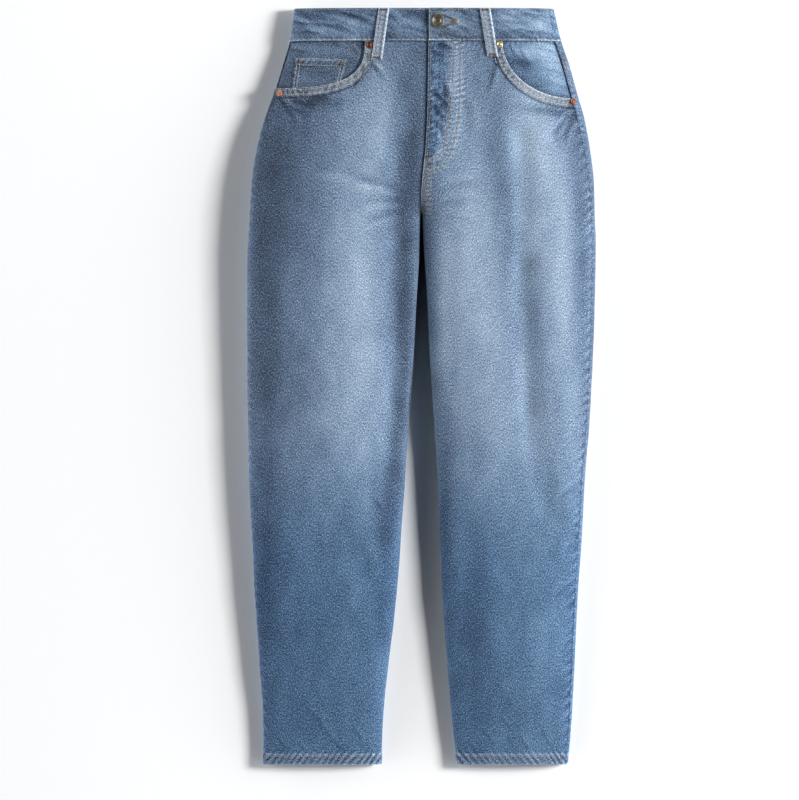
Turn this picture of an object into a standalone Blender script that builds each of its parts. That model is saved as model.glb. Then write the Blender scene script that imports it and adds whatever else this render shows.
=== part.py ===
# Mom jeans laid flat on their back, front up, with the hems towards -Y and the waist towards +Y.
# Left and right are the wearer's: the right leg is at -X and the left leg at +X.
# Sizes are in millimetres until a mesh is made, and the surface below the jeans is z = 0.
import functools
import math

import bmesh
import bpy
import numpy as np
from mathutils import Matrix, Vector

MM = 0.001
SHARP_ANGLE = math.radians(40.0)

# Heights along the garment, from hem to waist
HEM_Y = -501.0
HEM_BAND = 14.0
RULED_FROM_Y = 335.0
WAIST_SEAM_Y = 457.5
TOP_Y = 501.0

# Cloth
DENIM = 1.3
SEAM_GAP = 0.3
HEM_RISE = 0.8
MOUTH_BAND = 12.0
MOUTH_RISE = 0.7
LAP_RISE = 1.3
LAP_LEVEL = 28.0
LAP_FADE = 24.0
LAP_FOOT_Y = 233.0
LAP_FOOT_FADE = 60.0

# Shape of a section: a rounded oval, cut flat where it rests
ROUNDNESS = 2.6
SIDE_SHARE = 0.42
UNDER_REACH = 1.5
SEAM_TURN = {"right": math.radians(3.0), "left": math.radians(20.0)}
ARC_SAMPLES = 140
SHARE_STEP = 0.004
Y_STEP = 0.8

# Sections of the two legs and the seat. Outer and inner are the edges seen from above.
# Above the crotch the inner edges pass the centre line, where the seams cut them.
SECTION_COLUMNS = ("y", "right_outer", "right_inner", "left_inner", "left_outer", "loft")
SECTIONS = (
    (-501.0, -209.5, -53.0, 47.5, 194.8, 20.0),
    (-441.0, -209.8, -51.0, 40.5, 199.2, 23.0),
    (-362.0, -215.1, -43.0, 34.0, 203.2, 27.5),
    (-283.0, -220.4, -33.8, 28.5, 207.1, 31.0),
    (-203.0, -224.3, -27.1, 24.5, 212.4, 34.0),
    (-124.0, -228.3, -21.8, 21.8, 216.6, 36.5),
    (-44.0, -229.8, -16.5, 16.5, 223.0, 39.0),
    (35.0, -230.9, -10.4, 11.4, 227.2, 41.5),
    (114.0, -231.0, -6.0, 7.6, 229.8, 43.5),
    (167.0, -230.9, -2.4, 3.6, 231.0, 44.5),
    (194.0, -229.8, -0.9, 1.5, 231.0, 45.0),
    (221.0, -228.3, -0.4, 0.4, 229.9, 45.0),
    (228.0, -227.8, 1.0, -1.0, 229.7, 45.0),
    (236.0, -227.3, 7.0, -7.0, 229.5, 45.0),
    (250.0, -226.3, 26.0, -26.0, 229.2, 44.8),
    (273.0, -224.3, 66.0, -66.0, 228.3, 44.4),
    (313.0, -218.6, 140.0, -140.0, 223.6, 43.0),
    (353.0, -208.5, 190.0, -190.0, 216.4, 41.0),
    (392.0, -194.2, 196.0, -192.0, 205.8, 38.0),
    (432.0, -182.0, 190.0, -180.0, 194.2, 34.0),
    (457.5, -174.8, 184.0, -174.0, 185.4, 31.5),
    (501.0, -167.9, 174.6, -167.9, 174.6, 28.0),
)

# Edge of the fly, where the left front laps over the right front
LAP_COLUMNS = ("y", "x")
LAP = ((221.0, 0.0), (245.0, -0.6), (275.0, 1.0), (313.0, 5.0), (353.0, 7.2), (457.5, 9.2), (501.0, 9.9))

# How far the back stands off the surface, over the pockets and belt loops that lie under it
LIFT_COLUMNS = ("y", "lift")
LIFTS = ((-501.0, 0.0), (200.0, 0.0), (232.0, 1.9), (400.0, 1.9), (430.0, 2.5), (501.0, 2.5))

# Soft troughs of the front, with a depth below nought for a ridge
FOLD_COLUMNS = ("x0", "y0", "x1", "y1", "width", "depth")
FOLDS = (
    (-30.0, 315.0, -27.0, 190.0, 15.0, 3.6),
    (-27.0, 190.0, -31.0, -20.0, 15.0, 4.6),
    (-31.0, -20.0, -48.0, -150.0, 17.0, 1.8),
    (133.0, 330.0, 136.0, 160.0, 15.0, 3.6),
    (136.0, 160.0, 142.0, -30.0, 16.0, 4.4),
    (142.0, -30.0, 164.0, -160.0, 18.0, 2.6),
    (-192.0, 372.0, -158.0, 352.0, 8.0, 2.2),
    (-196.0, 352.0, -180.0, 306.0, 9.0, 2.0),
    (196.0, 362.0, 176.0, 330.0, 9.0, 2.0),
    (-14.0, 352.0, -16.0, 268.0, 11.0, 1.6),
    (-205.0, 210.0, -212.0, -40.0, 15.0, 1.6),
    (-120.0, 262.0, -40.0, 247.0, 8.0, 1.0),
    (-150.0, 300.0, -60.0, 283.0, 8.0, 0.9),
    (40.0, 262.0, 118.0, 276.0, 8.0, 0.9),
    (70.0, 200.0, 100.0, -180.0, 30.0, -1.8),
    (-110.0, 220.0, -118.0, -160.0, 34.0, -1.8),
    (-190.0, -250.0, -120.0, -262.0, 12.0, 1.1),
    (60.0, -236.0, 128.0, -226.0, 12.0, 1.1),
)

# Front pocket mouths: where each meets the waist seam and the side seam, and how square it is
MOUTHS = {
    "right": {"top_x": -74.8, "seam_y": 394.6, "squareness": 3.0},
    "left": {"top_x": 106.9, "seam_y": 381.0, "squareness": 2.0},
}
MOUTH_COLUMNS = 12
MOUTH_CROWDING = 1.15
MOUTH_SAMPLES = 200
TURN_STEP = 0.01
WAIST_SHARES = (0.22, 0.33, 0.44, 0.55, 0.66, 0.77, 0.88, 1.0)
FACING_LAP = 14.0
FACING_DROP = 0.9
FACING_WALL = 1.0
FACING_COLUMNS = 18
FACING_ROWS = 5
FACING_LAST_TURN = math.radians(83.0)

# Coin pocket, on the right facing: plan corners, the lower ones on the pocket mouth
COIN_TOP = ((-166.5, 435.1), (-97.9, 432.4))
COIN_FOOT_X = (-171.5, -105.6)
COIN_WALL = 1.0
COIN_COLUMNS = 9
COIN_ROWS = 5

# Waistband
BAND_RISE = 0.6
BAND_WALL = 2.4
BAND_PINCH = 0.7
BAND_HEIGHTS = (WAIST_SEAM_Y + SEAM_GAP / 2, 472.0, 487.0, 499.6, TOP_Y)
BAND_LEFT_X = 150.0
BAND_LEFT_COLUMNS = 9
BAND_SIDE_SHARES = (0.16, 0.10, 0.05, 0.0)
BAND_RIGHT_X = (-125.0, -105.0, -85.0, -65.0, -45.0, -25.0, -12.0, -5.0, 2.0)
BAND_END_GAP = 0.5
UNDERLAP_TOP = -0.9
UNDERLAP_WALL = 2.0
UNDERLAP_FROM_X = -12.0
UNDERLAP_STEPS = (6.0, 16.0, 30.0)

# Belt loops: plan x at the top and at the foot, the foot's y, and the face that carries each
LOOP_WIDTH = 14.0
LOOP_WALL = 1.6
LOOP_ARCH = 0.8
LOOP_TOP_Y = 500.4
LOOP_ROWS = 9
LOOP_COLUMNS = ("name", "side", "face", "top_x", "foot_x", "foot_y")
LOOPS = (
    ("belt_loop_front_right", "right", "front", -49.6, -59.2, 432.0),
    ("belt_loop_front_left", "left", "front", 83.8, 94.0, 436.0),
    ("belt_loop_back_right", "right", "back", -98.0, -102.0, 433.0),
    ("belt_loop_back_left", "left", "back", 101.0, 105.0, 433.0),
    ("belt_loop_back_centre", "centre", "back", 0.0, 0.0, 433.0),
)

# Fly underlap, behind the opening
SHIELD_X = (-12.0, 42.0)
SHIELD_Y = (286.0, 456.0)
SHIELD_DROP = 0.8
SHIELD_COLUMNS = 9
SHIELD_ROWS = 7

# Yoke seam, at the side and at the centre back
YOKE_SIDE_Y = 424.0
YOKE_CENTRE_Y = 386.0

# Back pockets: a plain five-sided patch, with its corners from the centre line outwards
POCKET_TOP = ((34.0, 360.0), (176.0, 372.0))
POCKET_FOOT = ((46.0, 242.0), (106.0, 220.0), (166.0, 248.0))
POCKET_COLUMNS = 8
POCKET_ROWS = 6

# Button and rivets: a radius and a height at each turn of the profile, from the top down
BUTTON_XY = (21.8, 483.4)
BUTTON_PROFILE = ((0.0, 3.0), (3.4, 3.0), (4.0, 2.5), (5.9, 2.5), (6.6, 3.1), (7.7, 2.9), (8.1, 2.1),
                  (7.5, 1.2), (3.6, 0.9), (3.2, 0.0), (0.0, 0.0))
RIVET_PROFILE = ((0.0, 1.4), (1.6, 1.3), (2.0, 0.9), (2.6, 0.9), (3.0, 1.5), (3.8, 1.3), (4.1, 0.5),
                 (4.1, 0.0), (0.0, 0.0))
RIVETS = {
    "rivet_right_waist": (-69.1, 451.6),
    "rivet_right_side": (-187.5, 388.0),
    "rivet_left_waist": (103.4, 452.4),
    "rivet_left_side": (200.0, 377.0),
}
TURN_STEPS = 20
MERGE_DISTANCE = 0.00001

# Rows of the panels, closer together at the hem, the crotch and the fly
LEG_ROWS = (
    -501.0, -487.0, -486.0, -445.0, -390.0, -330.0, -285.0, -250.0, -215.0, -170.0, -120.0,
    -70.0, -20.0, 30.0, 80.0, 125.0, 165.0, 192.0, 208.0, 217.0, 222.0, 226.0, 230.0, 235.0,
    242.0, 252.0, 267.0, 288.0, 311.0, 335.0,
)
BACK_ROWS = (
    -501.0, -487.0, -455.0, -400.0, -340.0, -280.0, -220.0, -160.0, -100.0, -40.0, 20.0, 80.0,
    130.0, 170.0, 200.0, 213.0, 221.0, 225.0, 229.0, 234.0, 242.0, 256.0, 280.0, 310.0, 335.0,
)
FRONT_RULED_ROWS = 5
BACK_RULED_ROWS = 3
BACK_COLUMNS = 15
FRONT_CROWDING = 0.065
BACK_CROWDING = 0.12

# Colours: denim, its paler and darker washes, and the metals
DENIM_BLUE = (0.19, 0.32, 0.47)
FACING_BLUE = (0.15, 0.27, 0.42)
PEWTER = (0.36, 0.34, 0.31)
COPPER = (0.55, 0.27, 0.14)


def read_column(rows, columns, name, y):
    """Smooth value of one column of a table at height y, level past the table's ends."""
    table = np.array(rows)
    heights = table[:, 0]
    values = table[:, columns.index(name)]
    y = min(max(y, heights[0]), heights[-1])
    slopes = np.gradient(values, heights)
    steps = np.diff(values) / np.diff(heights)
    for i in range(1, len(slopes) - 1):
        before = steps[i - 1]
        after = steps[i]
        slopes[i] = 0.0 if before * after <= 0 else 2 * before * after / (before + after)
    i = min(int(np.searchsorted(heights, y, side="right")) - 1, len(heights) - 2)
    span = heights[i + 1] - heights[i]
    t = (y - heights[i]) / span
    return float(
        (2 * t**3 - 3 * t**2 + 1) * values[i]
        + (t**3 - 2 * t**2 + t) * span * slopes[i]
        + (3 * t**2 - 2 * t**3) * values[i + 1]
        + (t**3 - t**2) * span * slopes[i + 1]
    )


@functools.lru_cache(maxsize=None)
def section(side, y):
    """Middle, signed half width, loft and stand-off of one side's section."""
    outer = read_column(SECTIONS, SECTION_COLUMNS, side + "_outer", y)
    inner = read_column(SECTIONS, SECTION_COLUMNS, side + "_inner", y)
    loft = read_column(SECTIONS, SECTION_COLUMNS, "loft", y)
    lift = read_column(LIFTS, LIFT_COLUMNS, "lift", y)
    return (outer + inner) / 2, (outer - inner) / 2, loft, lift


def turn_at(side, x, y):
    """Turn round the section, from its outer side over the top, where it passes plan x."""
    middle, reach, _, _ = section(side, y)
    share = min(max((x - middle) / reach, -1.0), 1.0)
    return math.acos(math.copysign(abs(share) ** (ROUNDNESS / 2), share))


@functools.lru_cache(maxsize=None)
def arc(side, face, y):
    """Turns, lengths and points along one face's cut of the section, from the side seam inwards."""
    middle, reach, loft, lift = section(side, y)
    if face == "front":
        end = turn_at(side, read_column(LAP, LAP_COLUMNS, "x", y), y)
    else:
        end = -turn_at(side, 0.0, y)
    turns = np.linspace(SEAM_TURN[side], end, ARC_SAMPLES)
    across = np.cos(turns)
    x = middle + reach * np.sign(across) * np.abs(across) ** (2 / ROUNDNESS)
    rise = np.abs(np.sin(turns)) ** (2 / ROUNDNESS)
    side_height = SIDE_SHARE * loft
    over = side_height + (loft - side_height) * rise
    under = np.maximum(side_height - UNDER_REACH * side_height * rise, lift)
    z = np.where(turns >= 0, over, under)
    lengths = np.concatenate(([0.0], np.cumsum(np.hypot(np.diff(x), np.diff(z)))))
    return turns, lengths, x, z


def share_at(side, face, x, y):
    """Share of the way along the face's cut of the section at which it passes plan x."""
    turns, lengths, _, _ = arc(side, face, y)
    turn = turn_at(side, x, y)
    if face == "back":
        return float(np.interp(turn, -turns, lengths)) / lengths[-1]
    return float(np.interp(turn, turns, lengths)) / lengths[-1]


def smooth_point(side, face, share, y, gap):
    """Point on the smooth surface, before its folds."""
    _, lengths, x, z = arc(side, face, y)
    at = gap / 2 + share * (lengths[-1] - gap)
    return Vector((float(np.interp(at, lengths, x)), y, float(np.interp(at, lengths, z))))


def fold_depth(x, y):
    """Depth of the soft troughs at a plan point."""
    depth = 0.0
    for row in FOLDS:
        fold = dict(zip(FOLD_COLUMNS, row))
        run = Vector((fold["x1"] - fold["x0"], fold["y1"] - fold["y0"]))
        reach = Vector((x - fold["x0"], y - fold["y0"]))
        along = min(max(reach.dot(run) / run.length_squared, 0.0), 1.0)
        off = (reach - run * along).length
        depth += fold["depth"] * math.exp(-((off / fold["width"]) ** 2))
    return depth


def ease(value):
    value = min(max(value, 0.0), 1.0)
    return value * value * (3 - 2 * value)


def lap_rise(side, x, y):
    """Rise of the left front over the fly, which fades out past its topstitching and at its foot."""
    if side == "right":
        return 0.0
    edge = read_column(LAP, LAP_COLUMNS, "x", y)
    across = 1 - ease((x - edge - LAP_LEVEL) / LAP_FADE)
    return LAP_RISE * across * ease((y - LAP_FOOT_Y) / LAP_FOOT_FADE)


def surface(side, face, share, y, out=0.0, gap=SEAM_GAP):
    """Point on the cloth's outer side, moved out along the surface's own normal."""
    here = smooth_point(side, face, share, y, gap)
    low = smooth_point(side, face, max(share - SHARE_STEP, 0.0), y, gap)
    high = smooth_point(side, face, min(share + SHARE_STEP, 1.0), y, gap)
    below = smooth_point(side, face, share, y - Y_STEP, gap)
    above = smooth_point(side, face, share, y + Y_STEP, gap)
    normal = (high - low).cross(above - below).normalized()
    if (side == "right") != (face == "front"):
        normal = -normal
    if face == "front":
        out += lap_rise(side, here.x, y) - fold_depth(here.x, y)
    return here + normal * out


def new_material(name, colour, roughness, metallic):
    material = bpy.data.materials.new(name)
    material.use_nodes = True
    shader = material.node_tree.nodes["Principled BSDF"]
    shader.inputs["Base Color"].default_value = (*colour, 1.0)
    shader.inputs["Roughness"].default_value = roughness
    shader.inputs["Metallic"].default_value = metallic
    return material


def add_object(name, mesh, colour, roughness=0.9, metallic=0.0):
    mesh.materials.append(new_material(name, colour, roughness, metallic))
    part = bpy.data.objects.new(name, mesh)
    jeans.objects.link(part)
    return part


def wall(name, outer, inner, colour=DENIM_BLUE):
    """Closed wall between two grids of points, rows by columns, in millimetres."""
    shell = bmesh.new()
    grids = [[[shell.verts.new(p * MM) for p in row] for row in grid] for grid in (outer, inner)]
    top, bottom = grids
    for r in range(len(top) - 1):
        for c in range(len(top[0]) - 1):
            shell.faces.new((top[r][c], top[r][c + 1], top[r + 1][c + 1], top[r + 1][c]))
            shell.faces.new((bottom[r][c], bottom[r + 1][c], bottom[r + 1][c + 1], bottom[r][c + 1]))
    rims = []
    for grid in grids:
        start = grid[0]
        far = [row[-1] for row in grid[1:]]
        end = grid[-1][-2::-1]
        near = [row[0] for row in grid[-2:0:-1]]
        rims.append([*start, *far, *end, *near])
    for i in range(len(rims[0])):
        j = (i + 1) % len(rims[0])
        shell.faces.new((rims[0][j], rims[0][i], rims[1][i], rims[1][j]))
    bmesh.ops.recalc_face_normals(shell, faces=shell.faces)
    mesh = bpy.data.meshes.new(name)
    shell.to_mesh(mesh)
    shell.free()
    mesh.shade_smooth()
    mesh.set_sharp_from_angle(angle=SHARP_ANGLE)
    return add_object(name, mesh, colour)


def crowded(count, crowding):
    """Shares from 0 to 1, closer together at both ends, where the cloth turns under."""
    steps = [i / count for i in range(count + 1)]
    return [step - crowding * math.sin(2 * math.pi * step) for step in steps]


def mouth_point(side, turn, inset=0.0):
    """Plan point on the pocket mouth, from the side seam to the waist seam, set in from its edge."""
    mouth = MOUTHS[side]
    sign = math.copysign(1.0, mouth["top_x"])
    seam_x = smooth_point(side, "front", 0.0, mouth["seam_y"], 0.0).x
    power = 2 / mouth["squareness"]

    def edge(at):
        x = seam_x + (mouth["top_x"] - seam_x) * math.sin(at) ** power
        return x, WAIST_SEAM_Y - (WAIST_SEAM_Y - mouth["seam_y"]) * math.cos(at) ** power

    x, y = edge(turn)
    if not inset:
        return x, y
    ahead = edge(min(turn + TURN_STEP, math.pi / 2))
    behind = edge(max(turn - TURN_STEP, 0.0))
    slope = (ahead[0] - behind[0], ahead[1] - behind[1])
    length = math.hypot(*slope)
    return x - sign * inset * abs(slope[1]) / length, y - inset * abs(slope[0]) / length


def mouth_turns(side, count):
    """Turns along the pocket mouth, closer together at the side seam."""
    turns = np.linspace(0.0, math.pi / 2, MOUTH_SAMPLES)
    points = np.array([mouth_point(side, t) for t in turns])
    lengths = np.concatenate(([0.0], np.cumsum(np.hypot(*np.diff(points, axis=0).T))))
    wanted = lengths[-1] * np.linspace(0.0, 1.0, count + 1) ** MOUTH_CROWDING
    return np.interp(wanted, lengths, turns)


def front_edge(side, inset):
    """Shares and heights along the top of the front: its pocket mouth, then the waist seam."""
    sign = math.copysign(1.0, MOUTHS[side]["top_x"])
    top_y = WAIST_SEAM_Y - SEAM_GAP / 2
    places = []
    for i, turn in enumerate(mouth_turns(side, MOUTH_COLUMNS)):
        x, y = mouth_point(side, turn, inset)
        if i == MOUTH_COLUMNS:
            x = MOUTHS[side]["top_x"] - sign * inset
            y = top_y - inset
        y = min(y, top_y - inset)
        places.append((0.0 if i == 0 else share_at(side, "front", x, y), y))
    corner = share_at(side, "front", MOUTHS[side]["top_x"], top_y)
    places.extend((corner + (1 - corner) * share, top_y - inset) for share in WAIST_SHARES)
    return places


def front_panel(side):
    """Front of one leg, from the hem to the waist seam, cut away at the pocket mouth."""
    base = crowded(MOUTH_COLUMNS + len(WAIST_SHARES), FRONT_CROWDING)
    rows = [[(share, y, HEM_RISE if y < HEM_Y + HEM_BAND + 0.5 else 0.0) for share in base] for y in LEG_ROWS]
    band = front_edge(side, MOUTH_BAND + 1.0)
    for r in range(1, FRONT_RULED_ROWS + 1):
        t = r / FRONT_RULED_ROWS
        row = []
        for share, (band_share, band_y) in zip(base, band):
            row.append((share + (band_share - share) * t, RULED_FROM_Y + (band_y - RULED_FROM_Y) * t, 0.0))
        rows.append(row)
    for inset in (MOUTH_BAND, 0.0):
        rises = [MOUTH_RISE] * (MOUTH_COLUMNS + 1) + [0.0] * len(WAIST_SHARES)
        rows.append([(share, y, rise) for (share, y), rise in zip(front_edge(side, inset), rises)])
    outer = [[surface(side, "front", share, y, rise) for share, y, rise in row] for row in rows]
    inner = [[surface(side, "front", share, y, -DENIM) for share, y, _ in row] for row in rows]
    wall("front_" + side, outer, inner)


def yoke_seam(share):
    return YOKE_SIDE_Y + (YOKE_CENTRE_Y - YOKE_SIDE_Y) * share


def back_panel(side):
    """Back of one leg, from the hem to the yoke."""
    base = crowded(BACK_COLUMNS, BACK_CROWDING)
    rows = [[(share, y) for share in base] for y in BACK_ROWS]
    for r in range(1, BACK_RULED_ROWS + 1):
        t = r / BACK_RULED_ROWS
        row = []
        for share in base:
            top = yoke_seam(share) - SEAM_GAP / 2
            row.append((share, RULED_FROM_Y + (top - RULED_FROM_Y) * t))
        rows.append(row)
    outer = [[surface(side, "back", share, y) for share, y in row] for row in rows]
    inner = [[surface(side, "back", share, y, -DENIM) for share, y in row] for row in rows]
    wall("back_" + side, outer, inner)


def yoke(side):
    """Piece between the back and the waistband, deepest at the centre back."""
    rows = []
    for t in (0.0, 0.5, 1.0):
        row = []
        for share in crowded(BACK_COLUMNS, BACK_CROWDING):
            low = yoke_seam(share) + SEAM_GAP / 2
            row.append((share, low + (WAIST_SEAM_Y - SEAM_GAP / 2 - low) * t))
        rows.append(row)
    outer = [[surface(side, "back", share, y) for share, y in row] for row in rows]
    inner = [[surface(side, "back", share, y, -DENIM) for share, y in row] for row in rows]
    wall("yoke_" + side, outer, inner)


def pocket_facing(side):
    """Facing that shows in the pocket mouth and runs on under the front."""
    top = -(DENIM + FACING_DROP)
    turns = [turn for turn in mouth_turns(side, FACING_COLUMNS) if turn < FACING_LAST_TURN]
    columns = []
    for i, turn in enumerate([*turns, FACING_LAST_TURN]):
        x, low = mouth_point(side, turn, FACING_LAP)
        column = []
        for r in range(FACING_ROWS + 1):
            y = low + (WAIST_SEAM_Y - SEAM_GAP - low) * r / FACING_ROWS
            column.append((0.0 if i == 0 else share_at(side, "front", x, y), y))
        columns.append(column)
    rows = list(zip(*columns))
    outer = [[surface(side, "front", share, y, top) for share, y in row] for row in rows]
    inner = [[surface(side, "front", share, y, top - FACING_WALL) for share, y in row] for row in rows]
    wall("pocket_facing_" + side, outer, inner, FACING_BLUE)


def coin_pocket():
    """Small pocket on the right facing, whose foot the pocket mouth cuts off."""
    mouth = np.array([mouth_point("right", turn) for turn in np.linspace(0.0, math.pi / 2, MOUTH_SAMPLES)])
    base = -(DENIM + FACING_DROP) + SEAM_GAP
    rows = []
    for r in range(COIN_ROWS + 1):
        row = []
        for c in range(COIN_COLUMNS + 1):
            across = c / COIN_COLUMNS
            top = Vector(COIN_TOP[0]).lerp(Vector(COIN_TOP[1]), across)
            foot_x = COIN_FOOT_X[0] + (COIN_FOOT_X[1] - COIN_FOOT_X[0]) * across
            foot = Vector((foot_x, float(np.interp(foot_x, mouth[:, 0], mouth[:, 1])) + 2 * SEAM_GAP))
            place = foot.lerp(top, r / COIN_ROWS)
            row.append((share_at("right", "front", place.x, place.y), place.y))
        rows.append(row)
    outer = [[surface("right", "front", share, y, base + COIN_WALL) for share, y in row] for row in rows]
    inner = [[surface("right", "front", share, y, base) for share, y in row] for row in rows]
    wall("coin_pocket", outer, inner)


def fly_shield():
    """Plain underlap behind the fly, across both fronts."""
    top = -(DENIM + SHIELD_DROP)
    rows = []
    for y in np.linspace(*SHIELD_Y, SHIELD_ROWS):
        y = float(y)
        edge = read_column(LAP, LAP_COLUMNS, "x", y)
        row = []
        for x in np.linspace(*SHIELD_X, SHIELD_COLUMNS):
            side = "right" if x < edge else "left"
            row.append((side, share_at(side, "front", float(x), y), y))
        rows.append(row)

    def under(side, share, y, drop):
        point = surface(side, "front", share, y, drop)
        return point - Vector((0.0, 0.0, lap_rise(side, point.x, y)))

    outer = [[under(side, share, y, top) for side, share, y in row] for row in rows]
    inner = [[under(side, share, y, top - DENIM) for side, share, y in row] for row in rows]
    wall("fly_shield", outer, inner, FACING_BLUE)


def band_route(lap_x):
    """Places round the waist, from the left end over the button, round the back, to the right end."""
    back = crowded(BACK_COLUMNS, BACK_CROWDING)
    route = [("left", "front", {"x": float(x)}) for x in np.linspace(lap_x, BAND_LEFT_X, BAND_LEFT_COLUMNS)]
    route += [("left", "front", {"share": share}) for share in BAND_SIDE_SHARES]
    route += [("left", "back", {"share": share}) for share in back[1:]]
    route += [("right", "back", {"share": share}) for share in back[-2:0:-1]]
    route += [("right", "front", {"share": share}) for share in reversed(BAND_SIDE_SHARES)]
    route += [("right", "front", {"x": x}) for x in (*BAND_RIGHT_X, lap_x - BAND_END_GAP)]
    route += [("underlap", "front", {"x": lap_x + step}) for step in UNDERLAP_STEPS]
    return route


def waistband():
    """Straight band round the waist, whose right end passes under its left end at the button."""
    lap_x = read_column(LAP, LAP_COLUMNS, "x", TOP_Y)
    outer = []
    inner = []
    for y in BAND_HEIGHTS:
        pinch = BAND_PINCH if y == TOP_Y else 0.0
        outer_row = []
        inner_row = []
        for name, face, place in band_route(lap_x):
            side = "left" if name == "underlap" else name
            share = place.get("share")
            out = BAND_RISE
            thickness = BAND_WALL
            if share is None:
                share = share_at(side, face, place["x"], y)
            if name == "underlap":
                out = UNDERLAP_TOP - lap_rise("left", place["x"], y)
                thickness = UNDERLAP_WALL
            elif name == "right" and "x" in place:
                dip = ease((place["x"] - UNDERLAP_FROM_X) / (lap_x - BAND_END_GAP - UNDERLAP_FROM_X))
                out += (UNDERLAP_TOP - BAND_RISE) * dip
                thickness += (UNDERLAP_WALL - BAND_WALL) * dip
            outer_row.append(surface(side, face, share, y, out - pinch, 0.0))
            inner_row.append(surface(side, face, share, y, out - thickness + pinch, 0.0))
        outer.append(outer_row)
        inner.append(inner_row)
    wall("waistband", outer, inner)


def belt_loop(name, side, face, top_x, foot_x, foot_y):
    """Flat strip over the waistband, sewn at its top edge and below its seam."""
    outer = []
    inner = []
    for up in np.linspace(0.0, 1.0, LOOP_ROWS + 1):
        y = foot_y + (LOOP_TOP_Y - foot_y) * float(up)
        middle_x = foot_x + (top_x - foot_x) * float(up)
        arch = LOOP_ARCH * math.sin(math.pi * up)
        outer_row = []
        inner_row = []
        for across in (-0.5, 0.0, 0.5):
            x = middle_x + across * LOOP_WIDTH
            lies_on = side if side != "centre" else ("right" if x < 0 else "left")
            share = share_at(lies_on, face, x, y)
            if face == "front":
                low = max(BAND_RISE, MOUTH_RISE) + SEAM_GAP + arch
                high = low + LOOP_WALL
            else:
                low = BAND_RISE + SEAM_GAP
                high = read_column(LIFTS, LIFT_COLUMNS, "lift", y)
            inner_row.append(surface(lies_on, face, share, y, low, 0.0))
            outer_row.append(surface(lies_on, face, share, y, high, 0.0))
        outer.append(outer_row)
        inner.append(inner_row)
    wall(name, outer, inner)


def back_pocket(side):
    """Plain five-sided patch pocket, flat on the surface under the back."""
    sign = -1.0 if side == "right" else 1.0
    outer = []
    inner = []
    for r in range(POCKET_ROWS + 1):
        outer_row = []
        inner_row = []
        for c in range(POCKET_COLUMNS + 1):
            t = c / POCKET_COLUMNS
            top = Vector(POCKET_TOP[0]).lerp(Vector(POCKET_TOP[1]), t)
            if t < 0.5:
                foot = Vector(POCKET_FOOT[0]).lerp(Vector(POCKET_FOOT[1]), t * 2)
            else:
                foot = Vector(POCKET_FOOT[1]).lerp(Vector(POCKET_FOOT[2]), t * 2 - 1)
            place = foot.lerp(top, r / POCKET_ROWS)
            share = share_at(side, "back", sign * place.x, place.y)
            lift = read_column(LIFTS, LIFT_COLUMNS, "lift", place.y)
            outer_row.append(surface(side, "back", share, place.y, lift))
            inner_row.append(surface(side, "back", share, place.y, SEAM_GAP))
        outer.append(outer_row)
        inner.append(inner_row)
    wall("back_pocket_" + side, outer, inner)


def turned(name, profile, side, xy, rise, colour, roughness):
    """Metal piece turned from a profile, standing on the cloth at a plan point."""
    x, y = xy
    share = share_at(side, "front", x, y)
    foot = surface(side, "front", share, y, rise + SEAM_GAP)
    normal = (surface(side, "front", share, y, rise + SEAM_GAP + 1.0) - foot).normalized()
    mesh = bpy.data.meshes.new(name)
    points = [(radius * MM, 0.0, height * MM) for radius, height in profile]
    mesh.from_pydata(points, [(i, i + 1) for i in range(len(points) - 1)], [])
    part = add_object(name, mesh, colour, roughness, 1.0)
    spin = part.modifiers.new("Turn", "SCREW")
    spin.steps = TURN_STEPS
    spin.render_steps = TURN_STEPS
    spin.use_merge_vertices = True
    spin.merge_threshold = MERGE_DISTANCE
    spin.use_smooth_shade = True
    turn = normal.to_track_quat("Z", "Y").to_matrix().to_4x4()
    part.matrix_world = Matrix.Translation(foot * MM) @ turn


for old in list(bpy.data.objects):
    bpy.data.objects.remove(old)
jeans = bpy.data.collections.new("mom_jeans")
bpy.context.scene.collection.children.link(jeans)

for wearers_side in ("right", "left"):
    front_panel(wearers_side)
    back_panel(wearers_side)
    yoke(wearers_side)
    pocket_facing(wearers_side)
    back_pocket(wearers_side)
coin_pocket()
fly_shield()
waistband()
for loop_row in LOOPS:
    belt_loop(**dict(zip(LOOP_COLUMNS, loop_row)))
turned("button", BUTTON_PROFILE, "left", BUTTON_XY, BAND_RISE, PEWTER, 0.35)
for rivet_name, rivet_xy in RIVETS.items():
    rivet_side = "right" if "right" in rivet_name else "left"
    turned(rivet_name, RIVET_PROFILE, rivet_side, rivet_xy, MOUTH_RISE, COPPER, 0.3)
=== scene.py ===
import math

import bpy
import numpy as np
from mathutils import Matrix, Vector


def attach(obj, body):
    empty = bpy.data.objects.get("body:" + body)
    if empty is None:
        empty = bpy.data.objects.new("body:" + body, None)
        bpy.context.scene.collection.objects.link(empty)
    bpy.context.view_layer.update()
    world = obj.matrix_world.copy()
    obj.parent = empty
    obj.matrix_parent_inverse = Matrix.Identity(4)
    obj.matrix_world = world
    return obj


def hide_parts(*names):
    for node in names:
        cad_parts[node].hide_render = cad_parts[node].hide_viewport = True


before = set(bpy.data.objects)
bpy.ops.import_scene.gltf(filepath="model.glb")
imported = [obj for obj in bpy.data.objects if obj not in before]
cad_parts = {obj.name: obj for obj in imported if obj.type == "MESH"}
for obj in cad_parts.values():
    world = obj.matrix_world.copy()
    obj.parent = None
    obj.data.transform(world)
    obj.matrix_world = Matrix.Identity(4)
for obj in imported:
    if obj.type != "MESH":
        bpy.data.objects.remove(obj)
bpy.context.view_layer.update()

mm = 0.001
bpy.context.scene.view_settings.view_transform = "Standard"

# Camera and studio

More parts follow.
